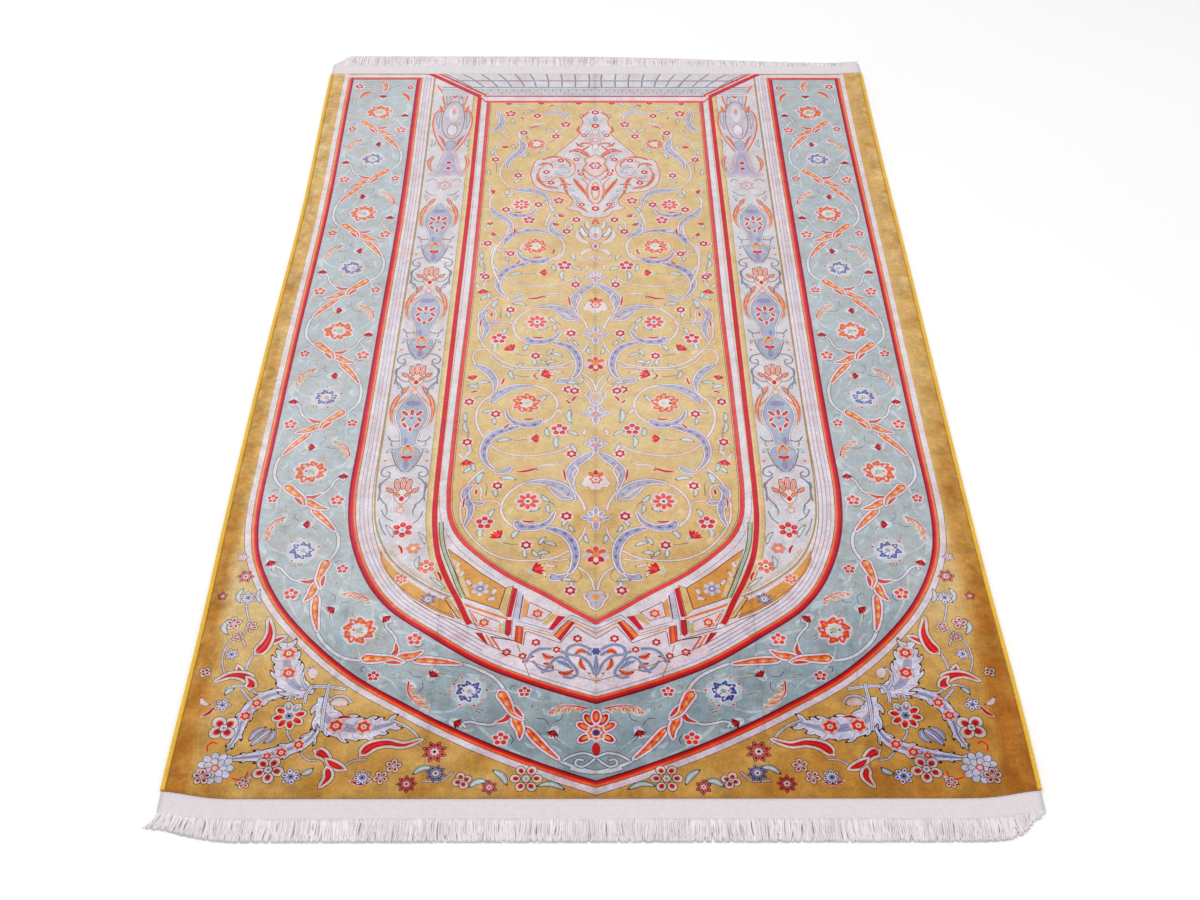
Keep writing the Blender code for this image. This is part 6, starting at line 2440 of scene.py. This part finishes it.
def pile_material():
    """The dyed velvet: the faces' dyes with peach clouds, a tuft's grain and patches of painted shade and
    painted light.
    """
    surface = Surface("velvet_pile", 0.95, 0.06)
    # the faces' dyes, with the painted shade already in them
    dye = surface.nodes.new("ShaderNodeAttribute")
    dye.attribute_name = "dye"
    tufts = surface.noise(TUFT_SCALE, 2.0, 0.6)
    fine = surface.noise(FINE_SCALE, 1.0)
    sweep = surface.noise(SWEEP_SCALE, 3.0)
    clouds = surface.noise(MOTTLE_SCALE, 3.0, 0.6)
    # clouds lean the dye towards peach, most in its green and blue
    tint = surface.nodes.new("ShaderNodeMix")
    tint.data_type = "RGBA"
    tint.inputs["A"].default_value = (1.0, 1.0, 1.0, 1.0)
    tint.inputs["B"].default_value = PEACH
    surface.links.new(surface.spread(clouds, 0.0, 1.0, 0.42, 0.66), tint.inputs["Factor"])
    tinted = surface.nodes.new("ShaderNodeMix")
    tinted.data_type = "RGBA"
    tinted.blend_type = "MULTIPLY"
    tinted.inputs["Factor"].default_value = 1.0
    surface.links.new(dye.outputs["Color"], tinted.inputs["A"])
    surface.links.new(tint.outputs["Result"], tinted.inputs["B"])
    shade = surface.spread(tufts, PILE_SHADE * 0.87, PILE_SHADE * 1.13, 0.3, 0.7)
    shade = surface.maths("MULTIPLY", shade, surface.spread(sweep, 0.95, 1.05, 0.3, 0.7))
    # patches of painted shade, some lighter, where the velvet's sheen breaks up; most towards the near end
    # and in the margins
    patches = surface.noise(SHADE_PATCH_SCALE, 4.0, 0.7)
    patches = surface.spread(patches, -0.22, 0.10, 0.36, 0.62)
    axes = surface.axes()
    near = surface.spread(axes[1], 1.0, 0.35, -0.54, -0.10)
    side = surface.maths("ABSOLUTE", axes[0])
    amount = surface.maths("MAXIMUM", near, surface.spread(side, 0.0, 1.3, 0.318, 0.332))
    patches = surface.maths("ADD", surface.maths("MULTIPLY", patches, amount), 1.0)
    shade = surface.maths("MULTIPLY", shade, patches)
    surface.colour(tinted.outputs["Result"], shade)
    surface.bump(surface.maths("ADD", tufts, fine), 0.0006, 0.35)
    return surface.material


def yarn_material(name, colour, roughness, scale, contrast, depth, stretch):
    """Yarn: a colour that varies from thread to thread, with fine bump. stretch scales the noise's axes."""
    surface = Surface(name, roughness, 0.08)
    mapping = surface.nodes.new("ShaderNodeMapping")
    mapping.inputs["Scale"].default_value = stretch
    surface.links.new(surface.place, mapping.inputs["Vector"])
    threads = surface.noise(scale, 2.0, 0.6, mapping.outputs["Vector"])
    clouds = surface.noise(40.0)
    shade = surface.spread(threads, 1 - contrast, 1 + contrast, 0.3, 0.7)
    shade = surface.maths("MULTIPLY", shade, surface.spread(clouds, 0.93, 1.07, 0.3, 0.7))
    surface.colour(tuple(float(c) for c in linear(colour)), shade)
    surface.bump(threads, depth, 0.5)
    return surface.material


def weave_material(name, colour, thread, contrast):
    """Plain weave: two sets of crossing threads, each thread a little different."""
    surface = Surface(name, 0.9)
    axes = surface.axes()
    along = surface.maths("SINE", surface.maths("MULTIPLY", axes[0], math.tau / thread))
    over = surface.maths("SINE", surface.maths("MULTIPLY", axes[1], math.tau / thread))
    cross = surface.maths("MULTIPLY", along, over)
    noise = surface.noise(300.0)
    height = surface.maths("ADD", surface.spread(cross, 0.0, 1.0, -1.0, 1.0), noise)
    shade = surface.spread(height, 1 - contrast, 1 + contrast, 0.4, 1.6)
    surface.colour(tuple(float(c) for c in linear(colour)), shade)
    surface.bump(height, 0.0003, 0.6)
    return surface.material


def floor_material():
    """Plain pale paint."""
    surface = Surface("studio_floor", 0.9)
    surface.colour(FLOOR_GREY, surface.spread(surface.noise(3.0), 0.985, 1.015))
    return surface.material


# ---------------------------------------------------------------- the rug's pieces
GROUND_COLOUR = (196, 178, 146)  # sRGB out of 255, as the next three
CORD_COLOUR = (226, 180, 62)
HEADING_COLOUR = (220, 213, 217)
FRINGE_COLOUR = (234, 226, 229)

drawing = draw_rug()
pile = pile_material()
strips = []
for i, folds in enumerate(STRIP_FOLDS):
    strip = pile_strip(f"pile_strip_{i + 1}", STRIP_EDGES[i], STRIP_EDGES[i + 1], folds, drawing)
    strip.data.materials.append(pile)
    strips.append(strip)

ground = ground_cloth()
ground.data.materials.append(weave_material("ground_weave", GROUND_COLOUR, thread=0.0024, contrast=0.10))

cord_yarn = yarn_material(
    "side_yarn",
    CORD_COLOUR,
    roughness=0.75,
    scale=900.0,
    contrast=0.16,
    depth=0.0004,
    stretch=(1.0, 0.5, 1.0),
)
cords = [side_cord("overcast_left", -1), side_cord("overcast_right", 1)]
for cord in cords:
    cord.data.materials.append(cord_yarn)

heading_weave = weave_material("heading_weave", HEADING_COLOUR, thread=0.0016, contrast=0.10)
fringe_yarn = yarn_material(
    "fringe_yarn",
    FRINGE_COLOUR,
    roughness=0.8,
    scale=700.0,
    contrast=0.07,
    depth=0.0001,
    stretch=(1.0, 0.15, 1.0),
)
headings = [heading("heading_near", True), heading("heading_far", False)]
fringes = [strands("strands_near", True), strands("strands_far", False)]
for piece in headings:
    piece.data.materials.append(heading_weave)
for piece in fringes:
    piece.data.materials.append(fringe_yarn)

for piece in strips + [ground]:
    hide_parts("pile")
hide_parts("binding_left")
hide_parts("binding_right")
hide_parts("fringe_near")
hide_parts("fringe_near")
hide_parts("fringe_far")
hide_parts("fringe_far")
for piece in strips + [ground] + cords + headings + fringes:
    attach(piece, "root")

# ---------------------------------------------------------------- floor, light and camera
FLOOR_HALF = 6.0
FLOOR_DROP = 0.0004
WORLD_STRENGTH = 0.64
LIGHTS = (
    # name, place, size, power
    ("key", (-0.9, 0.4, 2.6), 2.2, 33.0),
    ("fill", (1.3, -1.0, 2.2), 2.4, 14.0),
)
CAMERA_PLACE = (-0.0048, -1.2275, 1.0412)
CAMERA_TURN = (45.776, -0.154, -0.169)  # degrees
SENSOR_WIDTH = 36.0
FOCAL_LENGTH = 45.67


def studio_floor():
    """A plain floor just under the rug."""
    mesh = bpy.data.meshes.new("studio_floor")
    bm = bmesh.new()
    bmesh.ops.create_grid(bm, x_segments=2, y_segments=2, size=FLOOR_HALF)
    bm.to_mesh(mesh)
    bm.free()
    floor = bpy.data.objects.new("studio_floor", mesh)
    floor.location.z = -FLOOR_DROP
    bpy.context.collection.objects.link(floor)
    floor.data.materials.append(floor_material())


def soft_light(name, place, size, power):
    """A round area light that points at the rug's middle."""
    lamp = bpy.data.lights.new(name, "AREA")
    lamp.energy = power
    lamp.shape = "DISK"
    lamp.size = size
    light = bpy.data.objects.new(name, lamp)
    light.location = place
    light.rotation_euler = (-mathutils.Vector(place)).to_track_quat("-Z", "Y").to_euler()
    bpy.context.collection.objects.link(light)


studio_floor()
for light in LIGHTS:
    soft_light(*light)

scene = bpy.context.scene
world = bpy.data.worlds.new("studio")
world.use_nodes = True
world.node_tree.nodes["Background"].inputs["Color"].default_value = (1.0, 1.0, 1.0, 1.0)
world.node_tree.nodes["Background"].inputs["Strength"].default_value = WORLD_STRENGTH
scene.world = world
scene.view_settings.view_transform = "Standard"
scene.view_settings.look = "None"

camera_data = bpy.data.cameras.new("camera")
camera_data.sensor_width = SENSOR_WIDTH
camera_data.lens = FOCAL_LENGTH
camera_data.clip_end = 50.0
camera = bpy.data.objects.new("camera", camera_data)
camera.location = CAMERA_PLACE
camera.rotation_euler = tuple(math.radians(angle) for angle in CAMERA_TURN)
bpy.context.collection.objects.link(camera)
scene.camera = camera
